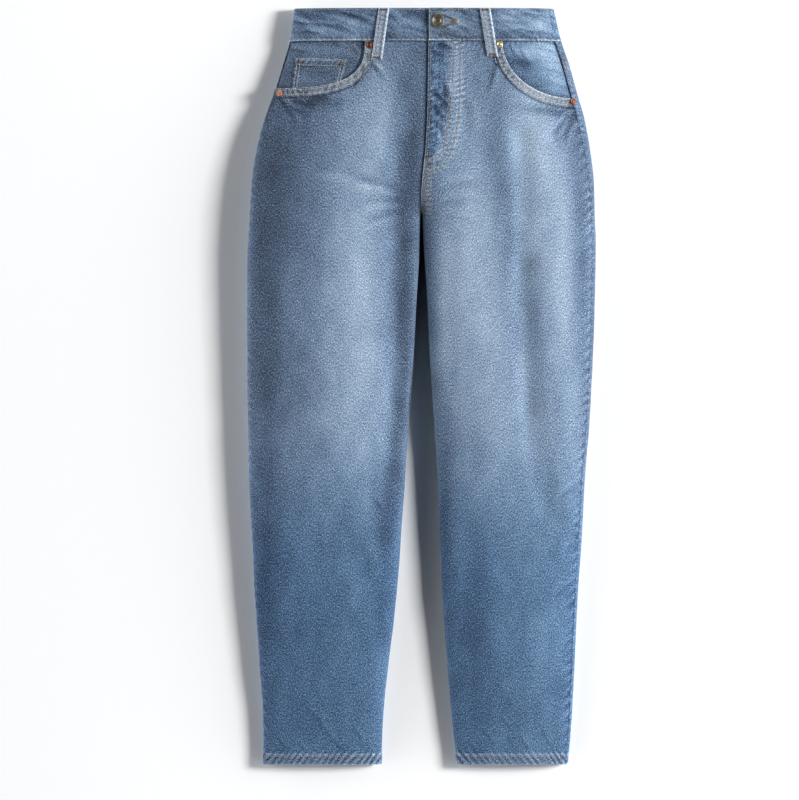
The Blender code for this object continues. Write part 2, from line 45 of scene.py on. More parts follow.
studio = {
    "viewCentre": (-29.1, -17.9),  # plan point in the middle of the picture
    "viewHeight": 1058.8,  # how much of the garment's length the picture takes in
    "focusHeight": 25.0,  # the height at which that holds
    "cameraHeight": 6000.0,
    "floorSize": 9000.0,
    "floorColour": (0.93, 0.93, 0.93),
    "keyPlace": (5500.0, 900.0, 3150.0),
    "keySize": 1500.0,
    "keyPower": 585.0,
    "skyColour": (0.95, 0.97, 1.0),
    "skyStrength": 17.5,
    "skyFade": 4.0,  # how quickly the walls darken upwards
}


def math2(nodes, links, operation, a, b, clamp=False):
    node = nodes.new("ShaderNodeMath")
    node.operation = operation
    node.use_clamp = clamp
    for socket, value in zip(node.inputs, (a, b)):
        if isinstance(value, (int, float)):
            socket.default_value = value
        else:
            links.new(value, socket)
    return node.outputs[0]


def makeCamera():
    data = bpy.data.cameras.new("view")
    camera = bpy.data.objects.new("view", data)
    bpy.context.scene.collection.objects.link(camera)
    x, y = studio["viewCentre"]
    camera.location = (x * mm, y * mm, studio["cameraHeight"] * mm)
    reach = studio["cameraHeight"] - studio["focusHeight"]
    data.sensor_width = 36.0
    data.lens = data.sensor_width * reach / studio["viewHeight"]
    data.clip_end = 60.0
    bpy.context.scene.camera = camera


def makeStudio():
    bpy.ops.object.select_all(action="DESELECT")
    bpy.ops.mesh.primitive_plane_add(size=studio["floorSize"] * mm)
    floor = bpy.context.active_object
    floor.name = "floor"
    paper = bpy.data.materials.new("floor_paper")
    paper.use_nodes = True
    shader = paper.node_tree.nodes["Principled BSDF"]
    shader.inputs["Base Color"].default_value = (*studio["floorColour"], 1.0)
    shader.inputs["Roughness"].default_value = 0.9
    shader.inputs["Specular IOR Level"].default_value = 0.0
    floor.data.materials.append(paper)
    key = bpy.data.lights.new("key", "AREA")
    key.size = studio["keySize"] * mm
    key.energy = studio["keyPower"]
    lamp = bpy.data.objects.new("key", key)
    bpy.context.scene.collection.objects.link(lamp)
    place = Vector(studio["keyPlace"]) * mm
    lamp.location = place
    lamp.rotation_euler = place.to_track_quat("Z", "Y").to_euler()
    sky = bpy.context.scene.world or bpy.data.worlds.new("sky")
    bpy.context.scene.world = sky
    sky.use_nodes = True
    glow = sky.node_tree.nodes.get("Background")
    if glow is None:
        glow = sky.node_tree.nodes.new("ShaderNodeBackground")
        out = sky.node_tree.nodes.new("ShaderNodeOutputWorld")
        sky.node_tree.links.new(glow.outputs[0], out.inputs["Surface"])
    glow.inputs["Color"].default_value = (*studio["skyColour"], 1.0)
    # a room with bright walls at its sides and a dark ceiling
    nodes, links = sky.node_tree.nodes, sky.node_tree.links
    aim = nodes.new("ShaderNodeTexCoord")
    split = nodes.new("ShaderNodeSeparateXYZ")
    links.new(aim.outputs["Generated"], split.inputs[0])
    fromTop = math2(nodes, links, "SUBTRACT", 1.0, split.outputs["Z"], clamp=True)
    low = math2(nodes, links, "POWER", fromTop, studio["skyFade"])
    across = math2(nodes, links, "ABSOLUTE", split.outputs["X"], 0.0)
    wall = math2(nodes, links, "MULTIPLY", low, math2(nodes, links, "POWER", across, 2.0))
    bright = math2(nodes, links, "MULTIPLY", wall, studio["skyStrength"])
    links.new(bright, glow.inputs["Strength"])
    return floor


makeCamera()
floor = makeStudio()
print("stage: camera and studio")

# Form: the same sections, lap, stand-off and folds as the solids have

form = {
    "hemY": -501.0,
    "ruledFromY": 335.0,
    "waistSeamY": 457.5,
    "topY": 501.0,
    "denim": 1.3,
    "seamGap": 0.3,
    "hemRise": 0.8,
    "mouthRise": 0.7,
    "lapRise": 1.3,
    "lapLevel": 28.0,
    "lapFade": 24.0,
    "lapFootY": 233.0,
    "lapFootFade": 60.0,
    "roundness": 2.6,
    "sideShare": 0.42,
    "underReach": 1.5,
    "seamTurn": {"right": math.radians(3.0), "left": math.radians(20.0)},
    "arcSamples": 140,
    "shares": 401,
    "yStep": 1.0,
}

# y, right outer, right inner, left inner, left outer, loft
sectionNames = ("y", "rightOuter", "rightInner", "leftInner", "leftOuter", "loft")
sections = np.array((
    (-501.0, -209.5, -53.0, 47.5, 194.8, 20.0),
    (-441.0, -209.8, -51.0, 40.5, 199.2, 23.0),
    (-362.0, -215.1, -43.0, 34.0, 203.2, 27.5),
    (-283.0, -220.4, -33.8, 28.5, 207.1, 31.0),
    (-203.0, -224.3, -27.1, 24.5, 212.4, 34.0),
    (-124.0, -228.3, -21.8, 21.8, 216.6, 36.5),
    (-44.0, -229.8, -16.5, 16.5, 223.0, 39.0),
    (35.0, -230.9, -10.4, 11.4, 227.2, 41.5),
    (114.0, -231.0, -6.0, 7.6, 229.8, 43.5),
    (167.0, -230.9, -2.4, 3.6, 231.0, 44.5),
    (194.0, -229.8, -0.9, 1.5, 231.0, 45.0),
    (221.0, -228.3, -0.4, 0.4, 229.9, 45.0),
    (228.0, -227.8, 1.0, -1.0, 229.7, 45.0),
    (236.0, -227.3, 7.0, -7.0, 229.5, 45.0),
    (250.0, -226.3, 26.0, -26.0, 229.2, 44.8),
    (273.0, -224.3, 66.0, -66.0, 228.3, 44.4),
    (313.0, -218.6, 140.0, -140.0, 223.6, 43.0),
    (353.0, -208.5, 190.0, -190.0, 216.4, 41.0),
    (392.0, -194.2, 196.0, -192.0, 205.8, 38.0),
    (432.0, -182.0, 190.0, -180.0, 194.2, 34.0),
    (457.5, -174.8, 184.0, -174.0, 185.4, 31.5),
    (501.0, -167.9, 174.6, -167.9, 174.6, 28.0),
))
# y, x of the edge of the left front, where it laps over the right
lap = np.array((
    (221.0, 0.0), (245.0, -0.6), (275.0, 1.0), (313.0, 5.0), (353.0, 7.2), (457.5, 9.2), (501.0, 9.9)))
# y, how far the back stands off the floor, over the pockets and loops under it
lifts = np.array(((-501.0, 0.0), (200.0, 0.0), (232.0, 1.9), (400.0, 1.9), (430.0, 2.5), (501.0, 2.5)))

# x0, y0, x1, y1, width, depth
folds = (
    (-30.0, 315.0, -27.0, 190.0, 15.0, 3.6),
    (-27.0, 190.0, -31.0, -20.0, 15.0, 4.6),
    (-31.0, -20.0, -48.0, -150.0, 17.0, 1.8),
    (133.0, 330.0, 136.0, 160.0, 15.0, 3.6),
    (136.0, 160.0, 142.0, -30.0, 16.0, 4.4),
    (142.0, -30.0, 164.0, -160.0, 18.0, 2.6),
    (-192.0, 372.0, -158.0, 352.0, 8.0, 2.2),
    (-196.0, 352.0, -180.0, 306.0, 9.0, 2.0),
    (196.0, 362.0, 176.0, 330.0, 9.0, 2.0),
    (-14.0, 352.0, -16.0, 268.0, 11.0, 1.6),
    (-205.0, 210.0, -212.0, -40.0, 15.0, 1.6),
    (-120.0, 262.0, -40.0, 247.0, 8.0, 1.0),
    (-150.0, 300.0, -60.0, 283.0, 8.0, 0.9),
    (40.0, 262.0, 118.0, 276.0, 8.0, 0.9),
    (70.0, 200.0, 100.0, -180.0, 30.0, -1.8),
    (-110.0, 220.0, -118.0, -160.0, 34.0, -1.8),
    (-190.0, -250.0, -120.0, -262.0, 12.0, 1.1),
    (60.0, -236.0, 128.0, -226.0, 12.0, 1.1),
)


def readCurve(table, column, y):
    # smooth value of a table's column at the heights y, with no overshoot between its rows
    heights = table[:, 0]
    values = table[:, column]
    y = np.clip(np.asarray(y, float), heights[0], heights[-1])
    slopes = np.gradient(values, heights)
    steps = np.diff(values) / np.diff(heights)
    before, after = steps[:-1], steps[1:]
    safe = np.where(before * after > 0, before + after, 1.0)
    slopes[1:-1] = np.where(before * after > 0, 2 * before * after / safe, 0.0)
    i = np.clip(np.searchsorted(heights, y, side="right") - 1, 0, len(heights) - 2)
    span = heights[i + 1] - heights[i]
    t = (y - heights[i]) / span
    return (
        (2 * t**3 - 3 * t**2 + 1) * values[i]
        + (t**3 - 2 * t**2 + t) * span * slopes[i]
        + (3 * t**2 - 2 * t**3) * values[i + 1]
        + (t**3 - t**2) * span * slopes[i + 1]
    )


def ease(value):
    value = np.clip(value, 0.0, 1.0)
    return value * value * (3 - 2 * value)


def hump(value, width):
    return np.exp(-((value / width) ** 2))


def lapX(y):
    return readCurve(lap, 1, y)


def middleAndReach(side, y):
    outer = readCurve(sections, sectionNames.index(side + "Outer"), y)
    inner = readCurve(sections, sectionNames.index(side + "Inner"), y)
    return (outer + inner) / 2, (outer - inner) / 2


def turnAt(side, x, y):
    # turn round the section, from its outer side over the top, where it passes plan x
    middle, reach = middleAndReach(side, y)
    share = np.clip((x - middle) / reach, -1.0, 1.0)
    return np.arccos(np.sign(share) * np.abs(share) ** (form["roundness"] / 2))


def makeChart(side, face):
    # tables of a face's points by height and by share of the way in from the side seam
    y = np.arange(form["hemY"] - 2.0, form["topY"] + 2.5, form["yStep"])
    middle, reach = middleAndReach(side, y)
    loft = readCurve(sections, 5, y)[:, None]
    lift = readCurve(lifts, 1, y)[:, None]
    end = turnAt(side, lapX(y), y) if face == "front" else -turnAt(side, 0.0, y)
    start = form["seamTurn"][side]
    turns = start + (end - start)[:, None] * np.linspace(0.0, 1.0, form["arcSamples"])
    across = np.cos(turns)
    x = middle[:, None] + reach[:, None] * np.sign(across) * np.abs(across) ** (2 / form["roundness"])
    rise = np.abs(np.sin(turns)) ** (2 / form["roundness"])
    sideHeight = form["sideShare"] * loft
    over = sideHeight + (loft - sideHeight) * rise
    under = np.maximum(sideHeight - form["underReach"] * sideHeight * rise, lift)
    z = np.where(turns >= 0, over, under)
    steps = np.hypot(np.diff(x, axis=1), np.diff(z, axis=1))
    lengths = np.concatenate([np.zeros((len(y), 1)), np.cumsum(steps, axis=1)], axis=1)
    shares = np.linspace(0.0, 1.0, form["shares"])
    xs = np.array([np.interp(shares, row / row[-1], xRow) for row, xRow in zip(lengths, x)])
    zs = np.array([np.interp(shares, row / row[-1], zRow) for row, zRow in zip(lengths, z)])
    return {"y": y, "x": xs, "z": zs, "length": lengths[:, -1], "start": start, "end": end,
            "shareOfTurn": lengths / lengths[:, -1:]}


charts = {(side, face): makeChart(side, face) for side in ("right", "left") for face in ("front", "back")}


def readTable(table, row, column):
    r = np.clip(row, 0, table.shape[0] - 1.001)
    c = np.clip(column, 0, table.shape[1] - 1.001)
    i, j = r.astype(int), c.astype(int)
    f, g = r - i, c - j
    low = table[i, j] * (1 - g) + table[i, j + 1] * g
    high = table[i + 1, j] * (1 - g) + table[i + 1, j + 1] * g
    return low * (1 - f) + high * f


def faceLength(side, face, y):
    chart = charts[side, face]
    return np.interp(y, chart["y"], chart["length"])


def shareAt(side, face, x, y):
    # share of the way along a face at which it passes plan x
    chart = charts[side, face]
    turn = turnAt(side, x, y)
    if face == "back":
        turn = -turn
    end = np.interp(y, chart["y"], chart["end"])
    along = np.clip((turn - chart["start"]) / (end - chart["start"]), 0.0, 1.0)
    row = (y - chart["y"][0]) / form["yStep"]
    return readTable(chart["shareOfTurn"], row, along * (form["arcSamples"] - 1))


def smoothPoint(side, face, share, y, gap):
    chart = charts[side, face]
    length = faceLength(side, face, y)
    share = (gap / 2 + np.clip(share, 0.0, 1.0) * (length - gap)) / length
    row = (y - chart["y"][0]) / form["yStep"]
    column = share * (form["shares"] - 1)
    return np.stack([readTable(chart["x"], row, column), y, readTable(chart["z"], row, column)], axis=-1)


def smoothSurface(side, face, share, y, gap):
    # points of the smooth surface, and its normals, out of the cloth
    share, y = np.broadcast_arrays(np.asarray(share, float), np.asarray(y, float))
    step = 0.004
    here = smoothPoint(side, face, share, y, gap)
    acrossStep = smoothPoint(side, face, share + step, y, gap) - smoothPoint(side, face, share - step, y, gap)
    upStep = smoothPoint(side, face, share, y + 0.8, gap) - smoothPoint(side, face, share, y - 0.8, gap)
    normal = np.cross(acrossStep, upStep)
    normal /= np.linalg.norm(normal, axis=-1, keepdims=True)
    if (side == "right") != (face == "front"):
        normal = -normal
    return here, normal


def foldDepth(x, y):
    depth = np.zeros_like(x)
    for x0, y0, x1, y1, width, deep in folds:
        runX, runY = x1 - x0, y1 - y0
        along = np.clip(((x - x0) * runX + (y - y0) * runY) / (runX**2 + runY**2), 0.0, 1.0)
        off = np.hypot(x - x0 - runX * along, y - y0 - runY * along)
        depth += deep * hump(off, width)
    return depth


def lapRise(side, x, y):
    if side == "right":
        return np.zeros_like(x)
    across = 1 - ease((x - lapX(y) - form["lapLevel"]) / form["lapFade"])
    return form["lapRise"] * across * ease((y - form["lapFootY"]) / form["lapFootFade"])


# Noise with a seed, the same on every run


def softNoise(x, y, cellX, cellY, seed):
    lattice = np.random.default_rng(seed).uniform(-1.0, 1.0, (256, 256))
    gx, gy = x / cellX, y / cellY
    i, j = np.floor(gx).astype(int), np.floor(gy).astype(int)
    f, g = ease(gx - i), ease(gy - j)
    low = lattice[i % 256, j % 256] * (1 - f) + lattice[(i + 1) % 256, j % 256] * f
    high = lattice[i % 256, (j + 1) % 256] * (1 - f) + lattice[(i + 1) % 256, (j + 1) % 256] * f
    return low * (1 - g) + high * g


print("stage: form")

# Seams and creases of the front

mouths = {
    "right": {"topX": -74.8, "seamY": 394.6, "squareness": 3.0},
    "left": {"topX": 106.9, "seamY": 381.0, "squareness": 2.0},
}


def mouthPoint(side, turn, inset=0.0):
    # plan point on the pocket mouth, from the side seam to the waist seam, set in from its edge
    mouth = mouths[side]
    sign = math.copysign(1.0, mouth["topX"])
    seamX = float(smoothPoint(side, "front", np.array(0.0), np.array(mouth["seamY"]), 0.0)[0])
    power = 2 / mouth["squareness"]

    def edge(at):
        x = seamX + (mouth["topX"] - seamX) * np.abs(np.sin(at)) ** power
        return x, form["waistSeamY"] - (form["waistSeamY"] - mouth["seamY"]) * np.abs(np.cos(at)) ** power

    x, y = edge(turn)
    aheadX, aheadY = edge(np.minimum(turn + 0.01, math.pi / 2))
    behindX, behindY = edge(np.maximum(turn - 0.01, 0.0))
    length = np.hypot(aheadX - behindX, aheadY - behindY)
    return (x - sign * inset * np.abs(aheadY - behindY) / length,
            y - inset * np.abs(aheadX - behindX) / length)


def mouthTurns(side, count):
    turns = np.linspace(0.0, math.pi / 2, 200)
    x, y = mouthPoint(side, turns)
    lengths = np.concatenate(([0.0], np.cumsum(np.hypot(np.diff(x), np.diff(y)))))
    return np.interp(lengths[-1] * np.linspace(0.0, 1.0, count + 1) ** 1.15, lengths, turns)


def smoothPath(points, step=3.0):
    # an even run of points along a smooth curve through the given ones
    given = np.array(points, float)
    padded = np.vstack([2 * given[0] - given[1], given, 2 * given[-1] - given[-2]])
    run = []
    for a, b, c, d in zip(padded[:-3], padded[1:-2], padded[2:-1], padded[3:]):
        for t in np.linspace(0.0, 1.0, 12, endpoint=False):
            run.append(0.5 * (2 * b + (c - a) * t + (2 * a - 5 * b + 4 * c - d) * t**2
                              + (3 * b - a - 3 * c + d) * t**3))
    run = np.array([*run, given[-1]])
    lengths = np.concatenate(([0.0], np.cumsum(np.hypot(*np.diff(run, axis=0).T))))
    wanted = np.linspace(0.0, lengths[-1], max(int(lengths[-1] / step), 2) + 1)
    return np.stack([np.interp(wanted, lengths, run[:, 0]), np.interp(wanted, lengths, run[:, 1])], axis=1)


def mouthLine(side, inset):
    return np.stack(mouthPoint(side, mouthTurns(side, 60), inset), axis=1)


def lapLine(top, foot, inset):
    y = np.linspace(top, foot, 60)
    return np.stack([lapX(y) + inset, y], axis=1)


flyRows = {
    "outer": smoothPath(((50.0, 457.3), (51.2, 418.9), (51.0, 379.2), (47.6, 346.1), (42.4, 322.3),
                         (37.1, 305.1), (28.5, 292.5), (19.2, 286.2), (12.6, 287.9))),
    "inner": smoothPath(((43.4, 457.3), (41.7, 418.9), (39.2, 379.2), (35.4, 346.1), (31.1, 322.3),
                         (26.5, 309.0), (19.2, 300.5), (13.0, 298.6))),
}
stripRow = smoothPath(((13.2, 297.0), (12.6, 262.0), (9.6, 240.0), (5.0, 225.0)))


def nearLine(x, y, line):
    # distance of each point to a line, how far along it that is, and which side of it the point is on
    best = np.full(x.shape, 1e9)
    along = np.zeros(x.shape)
    sideOf = np.zeros(x.shape)
    start = 0.0
    for (ax, ay), (bx, by) in zip(line[:-1], line[1:]):
        runX, runY = bx - ax, by - ay
        length = math.hypot(runX, runY)
        if length < 1e-6:
            continue
        t = np.clip(((x - ax) * runX + (y - ay) * runY) / length**2, 0.0, 1.0)
        off = np.hypot(x - ax - runX * t, y - ay - runY * t)
        closer = off < best
        best = np.where(closer, off, best)
        along = np.where(closer, start + t * length, along)
        sideOf = np.where(closer, np.sign(runX * (y - ay) - runY * (x - ax)), sideOf)
        start += length
    return best, along, sideOf


def rope(along, off, pitch, slant, seed):
    # uneven slanting ripples along a seam, from -1 in a trough to 1 on a ridge
    drift = 0.9 * softNoise(along, off * 0.0, 3.1 * pitch, 1.0, seed)
    wave = np.sin(2 * math.pi * (along + slant * off) / pitch + 2.2 * drift)
    strength = 0.62 + 0.38 * softNoise(along, off * 0.0 + 7.0, 1.9 * pitch, 1.0, seed + 1)
    return np.tanh(2.2 * wave) * strength


# Puckers beside the front's seams: line, side of the garment, how far they reach inwards and outwards of the
# line, pitch, slant, height, wear
def frontSeams():
    return (
        (mouthLine("right", 6.0), "right", 7.0, 7.0, 6.8, 0.35, 0.36, 0.26),
        (mouthLine("left", 6.0), "left", 7.0, 7.0, 6.0, -0.35, 0.3, 0.22),
        (lapLine(456.0, 300.0, 4.0), "left", 9.0, 6.0, 8.6, 0.5, 0.3, 0.16),
        (flyRows["outer"], "left", 6.0, 9.0, 7.0, 0.3, 0.36, 0.20),
        (flyRows["inner"], "left", 6.0, 5.0, 5.6, -0.3, 0.28, 0.20),
        (stripRow, "left", 7.0, 5.0, 5.2, 0.2, 0.26, 0.18),
    )


# Creases of the front: x0, y0, x1, y1, bow, width, depth, wear
frontCreases = (
    (-190.0, 384.0, -152.0, 361.0, -4.0, 3.2, 1.0, 0.16),
    (-188.0, 378.0, -163.0, 340.0, 3.0, 3.0, 0.8, 0.14),
    (-172.0, 380.0, -138.0, 372.0, -3.0, 4.2, 1.1, 0.22),
    (-153.0, 378.0, -120.0, 382.0, 2.0, 3.4, 0.8, 0.2),
    (-68.0, 430.0, -54.0, 415.0, -1.5, 2.4, 0.8, 0.18),
    (-64.0, 422.0, -48.0, 398.0, 2.0, 3.0, 0.5, 0.1),
    (-102.0, 446.0, -84.0, 438.0, 1.0, 3.0, 0.5, 0.1),
    (15.0, 455.0, 42.0, 444.0, 2.0, 2.6, 0.8, 0.2),
    (14.0, 443.0, 34.0, 436.0, -1.5, 2.6, 0.7, 0.16),
    (16.0, 431.0, 38.0, 424.0, 2.0, 2.4, 0.5, 0.12),
    (14.0, 389.0, 36.0, 367.0, 1.5, 2.2, 0.8, 0.2),
    (16.0, 372.0, 32.0, 352.0, -2.0, 2.8, 0.8, 0.2),
    (14.0, 352.0, 28.0, 338.0, 1.0, 2.6, 0.6, 0.14),
    (16.0, 334.0, 27.0, 318.0, -1.0, 2.6, 0.5, 0.12),
    (27.0, 402.0, 33.0, 380.0, 2.0, 4.0, 0.7, 0.18),
    (100.0, 428.0, 92.0, 404.0, -2.0, 3.0, 0.6, 0.1),
    (97.0, 420.0, 84.0, 388.0, 2.0, 3.6, 0.5, 0.1),
    (198.0, 371.0, 176.0, 352.0, -2.0, 3.0, 0.9, 0.14),
    (192.0, 362.0, 168.0, 330.0, 3.0, 3.4, 0.8, 0.12),
    (201.0, 360.0, 188.0, 318.0, -3.0, 4.0, 0.6, 0.1),
    (56.0, 380.0, 62.0, 330.0, 4.0, 6.0, 0.6, 0.08),
    (-30.0, 258.0, -98.0, 270.0, -6.0, 5.0, 0.7, 0.10),
    (-26.0, 244.0, -84.0, 240.0, -4.0, 4.6, 0.6, 0.08),
    (-24.0, 230.0, -78.0, 214.0, -4.0, 4.6, 0.5, 0.08),
    (-60.0, 268.0, -148.0, 288.0, -6.0, 6.0, 0.6, 0.08),
    (22.0, 256.0, 78.0, 268.0, 4.0, 5.0, 0.6, 0.06),
    (24.0, 240.0, 86.0, 242.0, 4.0, 4.6, 0.5, 0.05),
    (30.0, 224.0, 74.0, 212.0, 3.0, 4.6, 0.4, 0.05),
    (-151.0, -427.0, -128.0, -451.0, 1.0, 2.0, 0.5, 0.11),
    (-136.0, -448.0, -119.0, -466.0, 1.0, 1.8, 0.4, 0.1),
    (-121.0, -463.0, -103.0, -483.0, -1.0, 2.0, 0.5, 0.13),
    (-166.0, -470.0, -153.0, -484.0, 0.5, 1.8, 0.4, 0.1),
    (-92.0, -450.0, -78.0, -474.0, 1.0, 2.0, 0.4, 0.09),
    (-190.0, -466.0, -180.0, -484.0, 0.5, 1.8, 0.4, 0.09),
    (-68.0, -146.0, -52.0, -163.0, 1.5, 2.4, 0.6, 0.12),
    (-168.0, -317.0, -152.0, -331.0, 0.5, 1.8, 0.3, 0.07),
    (-143.0, -352.0, -126.0, -369.0, 1.0, 1.8, 0.3, 0.07),
    (-88.0, -205.0, -70.0, -262.0, 5.0, 9.0, 0.7, 0.05),
    (78.0, -452.0, 96.0, -476.0, 1.0, 2.0, 0.5, 0.11),
    (104.0, -436.0, 118.0, -452.0, -1.0, 1.8, 0.4, 0.1),
    (128.0, -462.0, 143.0, -484.0, 1.0, 2.0, 0.5, 0.12),
    (62.0, -470.0, 72.0, -485.0, 0.5, 1.8, 0.4, 0.1),
    (160.0, -456.0, 170.0, -478.0, 1.0, 1.8, 0.4, 0.09),
    (182.0, -150.0, 206.0, -132.0, 2.0, 3.6, 0.6, 0.08),
    (192.0, -216.0, 208.0, -206.0, 1.0, 3.0, 0.5, 0.08),
    (176.0, -278.0, 204.0, -262.0, 2.0, 4.0, 0.6, 0.08),
)

# Washed patches of the front, with painted shade in the fold valleys, beside the lap edge and under the
# pocket mouths' bands: x, y, spreadX, spreadY, turn in degrees, and gain as a share of the indigo worn away
frontWashAndShade = (
    (-88.0, 190.0, 44.0, 200.0, -3.0, 0.24),
    (-84.0, 20.0, 40.0, 130.0, -3.0, 0.14),
    (-62.0, 400.0, 34.0, 60.0, 0.0, 0.08),
    (74.0, 170.0, 34.0, 250.0, 5.0, 0.26),
    (186.0, 160.0, 30.0, 230.0, 5.0, 0.24),
    (152.0, 330.0, 40.0, 56.0, 0.0, 0.14),
    (-206.0, 90.0, 26.0, 330.0, 0.0, -0.20),
    (-181.0, 285.0, 22.0, 80.0, 0.0, -0.12),
    (-150.0, 120.0, 26.0, 240.0, -6.0, -0.05),
    (-10.0, 340.0, 12.0, 90.0, 0.0, -0.10),
    (-26.0, 130.0, 20.0, 190.0, 0.0, -0.24),
    (-101.0, 60.0, 16.0, 80.0, 0.0, -0.10),
    (122.0, 200.0, 14.0, 150.0, 12.0, -0.10),
    (30.0, 374.0, 9.0, 24.0, 0.0, -0.30),
    (26.0, 446.0, 15.0, 10.0, 0.0, -0.18),
    (9.0, 380.0, 5.0, 110.0, 0.0, -0.16),
    (24.0, 330.0, 7.0, 26.0, 0.0, 0.04),
    (170.0, 364.0, 26.0, 6.0, -8.0, -0.22),
    (-142.0, 378.0, 20.0, 4.5, 0.0, -0.22),
    (31.0, 110.0, 15.0, 130.0, 0.0, 0.20),
    (56.0, 110.0, 14.0, 170.0, 0.0, 0.10),
    (142.0, 165.0, 18.0, 55.0, 0.0, 0.13),
    (140.0, -10.0, 18.0, 60.0, 4.0, 0.09),
    (160.0, -50.0, 14.0, 50.0, 0.0, 0.07),
    (150.0, 60.0, 24.0, 170.0, 0.0, 0.07),
    (190.0, 235.0, 14.0, 80.0, 0.0, 0.08),
    (-154.0, 330.0, 14.0, 90.0, 0.0, -0.08),
    (186.0, 340.0, 22.0, 26.0, 0.0, -0.10),
    (-38.0, -130.0, 12.0, 120.0, -6.0, -0.16),
    (-206.0, -260.0, 14.0, 180.0, 0.0, -0.08),
    (-48.0, 350.0, 16.0, 50.0, 0.0, 0.14),
    (-60.0, 300.0, 16.0, 60.0, 0.0, 0.05),
    (214.0, 60.0, 14.0, 330.0, 2.0, -0.17),
    (-125.0, 372.0, 40.0, 9.0, 8.0, -0.12),
    (140.0, 366.0, 26.0, 6.0, -8.0, -0.08),
    (137.0, 280.0, 26.0, 110.0, 0.0, 0.17),
    (137.0, 385.0, 30.0, 26.0, 0.0, 0.10),
    (-18.0, -330.0, 40.0, 170.0, 8.0, -0.05),
    (166.0, -330.0, 40.0, 160.0, 0.0, 0.08),
    (72.0, -340.0, 22.0, 110.0, 0.0, -0.12),
    (32.0, -160.0, 10.0, 110.0, 0.0, -0.14),
    (-150.0, -330.0, 40.0, 200.0, 0.0, -0.06),
)

# Indigo worn away with height alone
washOfHeight = np.array((
    (-501.0, 0.28), (-441.0, 0.27), (-362.0, 0.28), (-283.0, 0.29), (-203.0, 0.30), (-140.0, 0.34),
    (-80.0, 0.37), (0.0, 0.35), (120.0, 0.33), (240.0, 0.30), (330.0, 0.29), (400.0, 0.28),
    (457.5, 0.26), (501.0, 0.28)))


def patches(table, x, y):
    total = np.zeros_like(x)
    for px, py, spreadX, spreadY, turn, gain in table:
        c, s = math.cos(math.radians(turn)), math.sin(math.radians(turn))
        u = ((x - px) * c + (y - py) * s) / spreadX
        v = (-(x - px) * s + (y - py) * c) / spreadY
        total += gain * np.exp(-(u**2 + v**2))
    return total


def creased(table, x, y):
    # height and wear that the listed creases give: a dark trough with a worn ridge beside it
    height = np.zeros_like(x)
    wear = np.zeros_like(x)
    for x0, y0, x1, y1, bow, width, depth, worn in table:
        runX, runY = x1 - x0, y1 - y0
        length = math.hypot(runX, runY)
        t = ((x - x0) * runX + (y - y0) * runY) / length**2
        off = (runX * (y - y0) - runY * (x - x0)) / length - 4 * bow * t * (1 - t)
        ends = ease(t / 0.22 + 0.3) * ease((1 - t) / 0.3 + 0.1)
        trough = hump(off, width) * ends
        ridge = np.exp(-(((off - 1.7 * width) / (1.1 * width)) ** 2)) * ends
        height += depth * (0.55 * ridge - trough)
        wear += worn * (0.8 * ridge - trough)
    return height, wear


def frontLook(x, y):
    # what the front's own cloth adds to the smooth form: height in millimetres, and share of indigo worn
    # away, with painted shade in fold valleys, beside the lap and under the pocket bands
    height = 0.35 * softNoise(x, y, 34.0, 46.0, 5) + 0.22 * softNoise(x, y, 13.0, 21.0, 6)
    wash_and_shading = readCurve(washOfHeight, 1, y) + patches(frontWashAndShade, x, y)
    wash_and_shading = wash_and_shading + 0.035 * softNoise(x, y, 26.0, 40.0, 8) + 0.03 * softNoise(x, y, 9.0, 22.0, 9)
    more, worn = creased(frontCreases, x, y)
    return height + more, wash_and_shading + worn


def seamLook(side, x, y):
    height = np.zeros_like(x)
    wash_and_shading = np.zeros_like(x)
    for number, (line, lies, inwards, outwards, pitch, slant, high, worn) in enumerate(frontSeams()):
        if lies != side:
            continue
        off, along, sideOf = nearLine(x, y, line)
        reach = np.where(sideOf > 0, inwards, outwards)
        fade = hump(off, reach)
        ripple = rope(along, off * sideOf, pitch, slant, 40 + 2 * number)
        height += high * ripple * fade
        wash_and_shading += worn * ripple * fade
    # slanting ripples of the hem, and a worn bottom edge
    up = y - form["hemY"]
    ripple = rope(x, up, 8.6, -0.75 if side == "right" else 0.75, 71)
    fade = ease((up + 2.0) / 3.0) * (1 - ease((up - 11.0) / 12.0))
    height += 0.45 * ripple * fade
    wash_and_shading += 0.2 * ripple * fade + 0.2 * hump(up, 1.6) + 0.16 * hump(up - 13.6, 1.3)
    # small dark puckers at the side seam
    share = shareAt(side, "front", x, y)
    fromSeam = share * faceLength(side, "front", y)
    ripple = rope(y, fromSeam, 15.0, 0.8, 77)
    fade = hump(fromSeam, 8.0)
    height += 0.4 * ripple * fade
    wash_and_shading += (0.17 * ripple - 0.04) * fade - 0.16 * hump(fromSeam, 1.2)
    # short puckers under the waist seam
    down = form["waistSeamY"] - y
    ripple = rope(x, down, 6.8, 0.25, 81)
    fade = hump(down, 8.0)
    height += 0.2 * ripple * fade
    wash_and_shading += 0.09 * ripple * fade
    return height, wash_and_shading


print("stage: seams and creases")

# Finishes


def linear(red, green, blue):
    # a colour as picked on screen, for a shader
    shares = (red / 255, green / 255, blue / 255)
    return tuple(share / 12.92 if share <= 0.04 else ((share + 0.055) / 1.055) ** 2.4 for share in shares)


def newGroup(name, inputs, outputs):
    group = bpy.data.node_groups.new(name, "ShaderNodeTree")
    for title, kind, value in inputs:
        socket = group.interface.new_socket(name=title, in_out="INPUT", socket_type=kind)
        if value is not None:
            socket.default_value = value
    for title, kind in outputs:
        group.interface.new_socket(name=title, in_out="OUTPUT", socket_type=kind)
    return group, group.nodes.new("NodeGroupInput"), group.nodes.new("NodeGroupOutput")


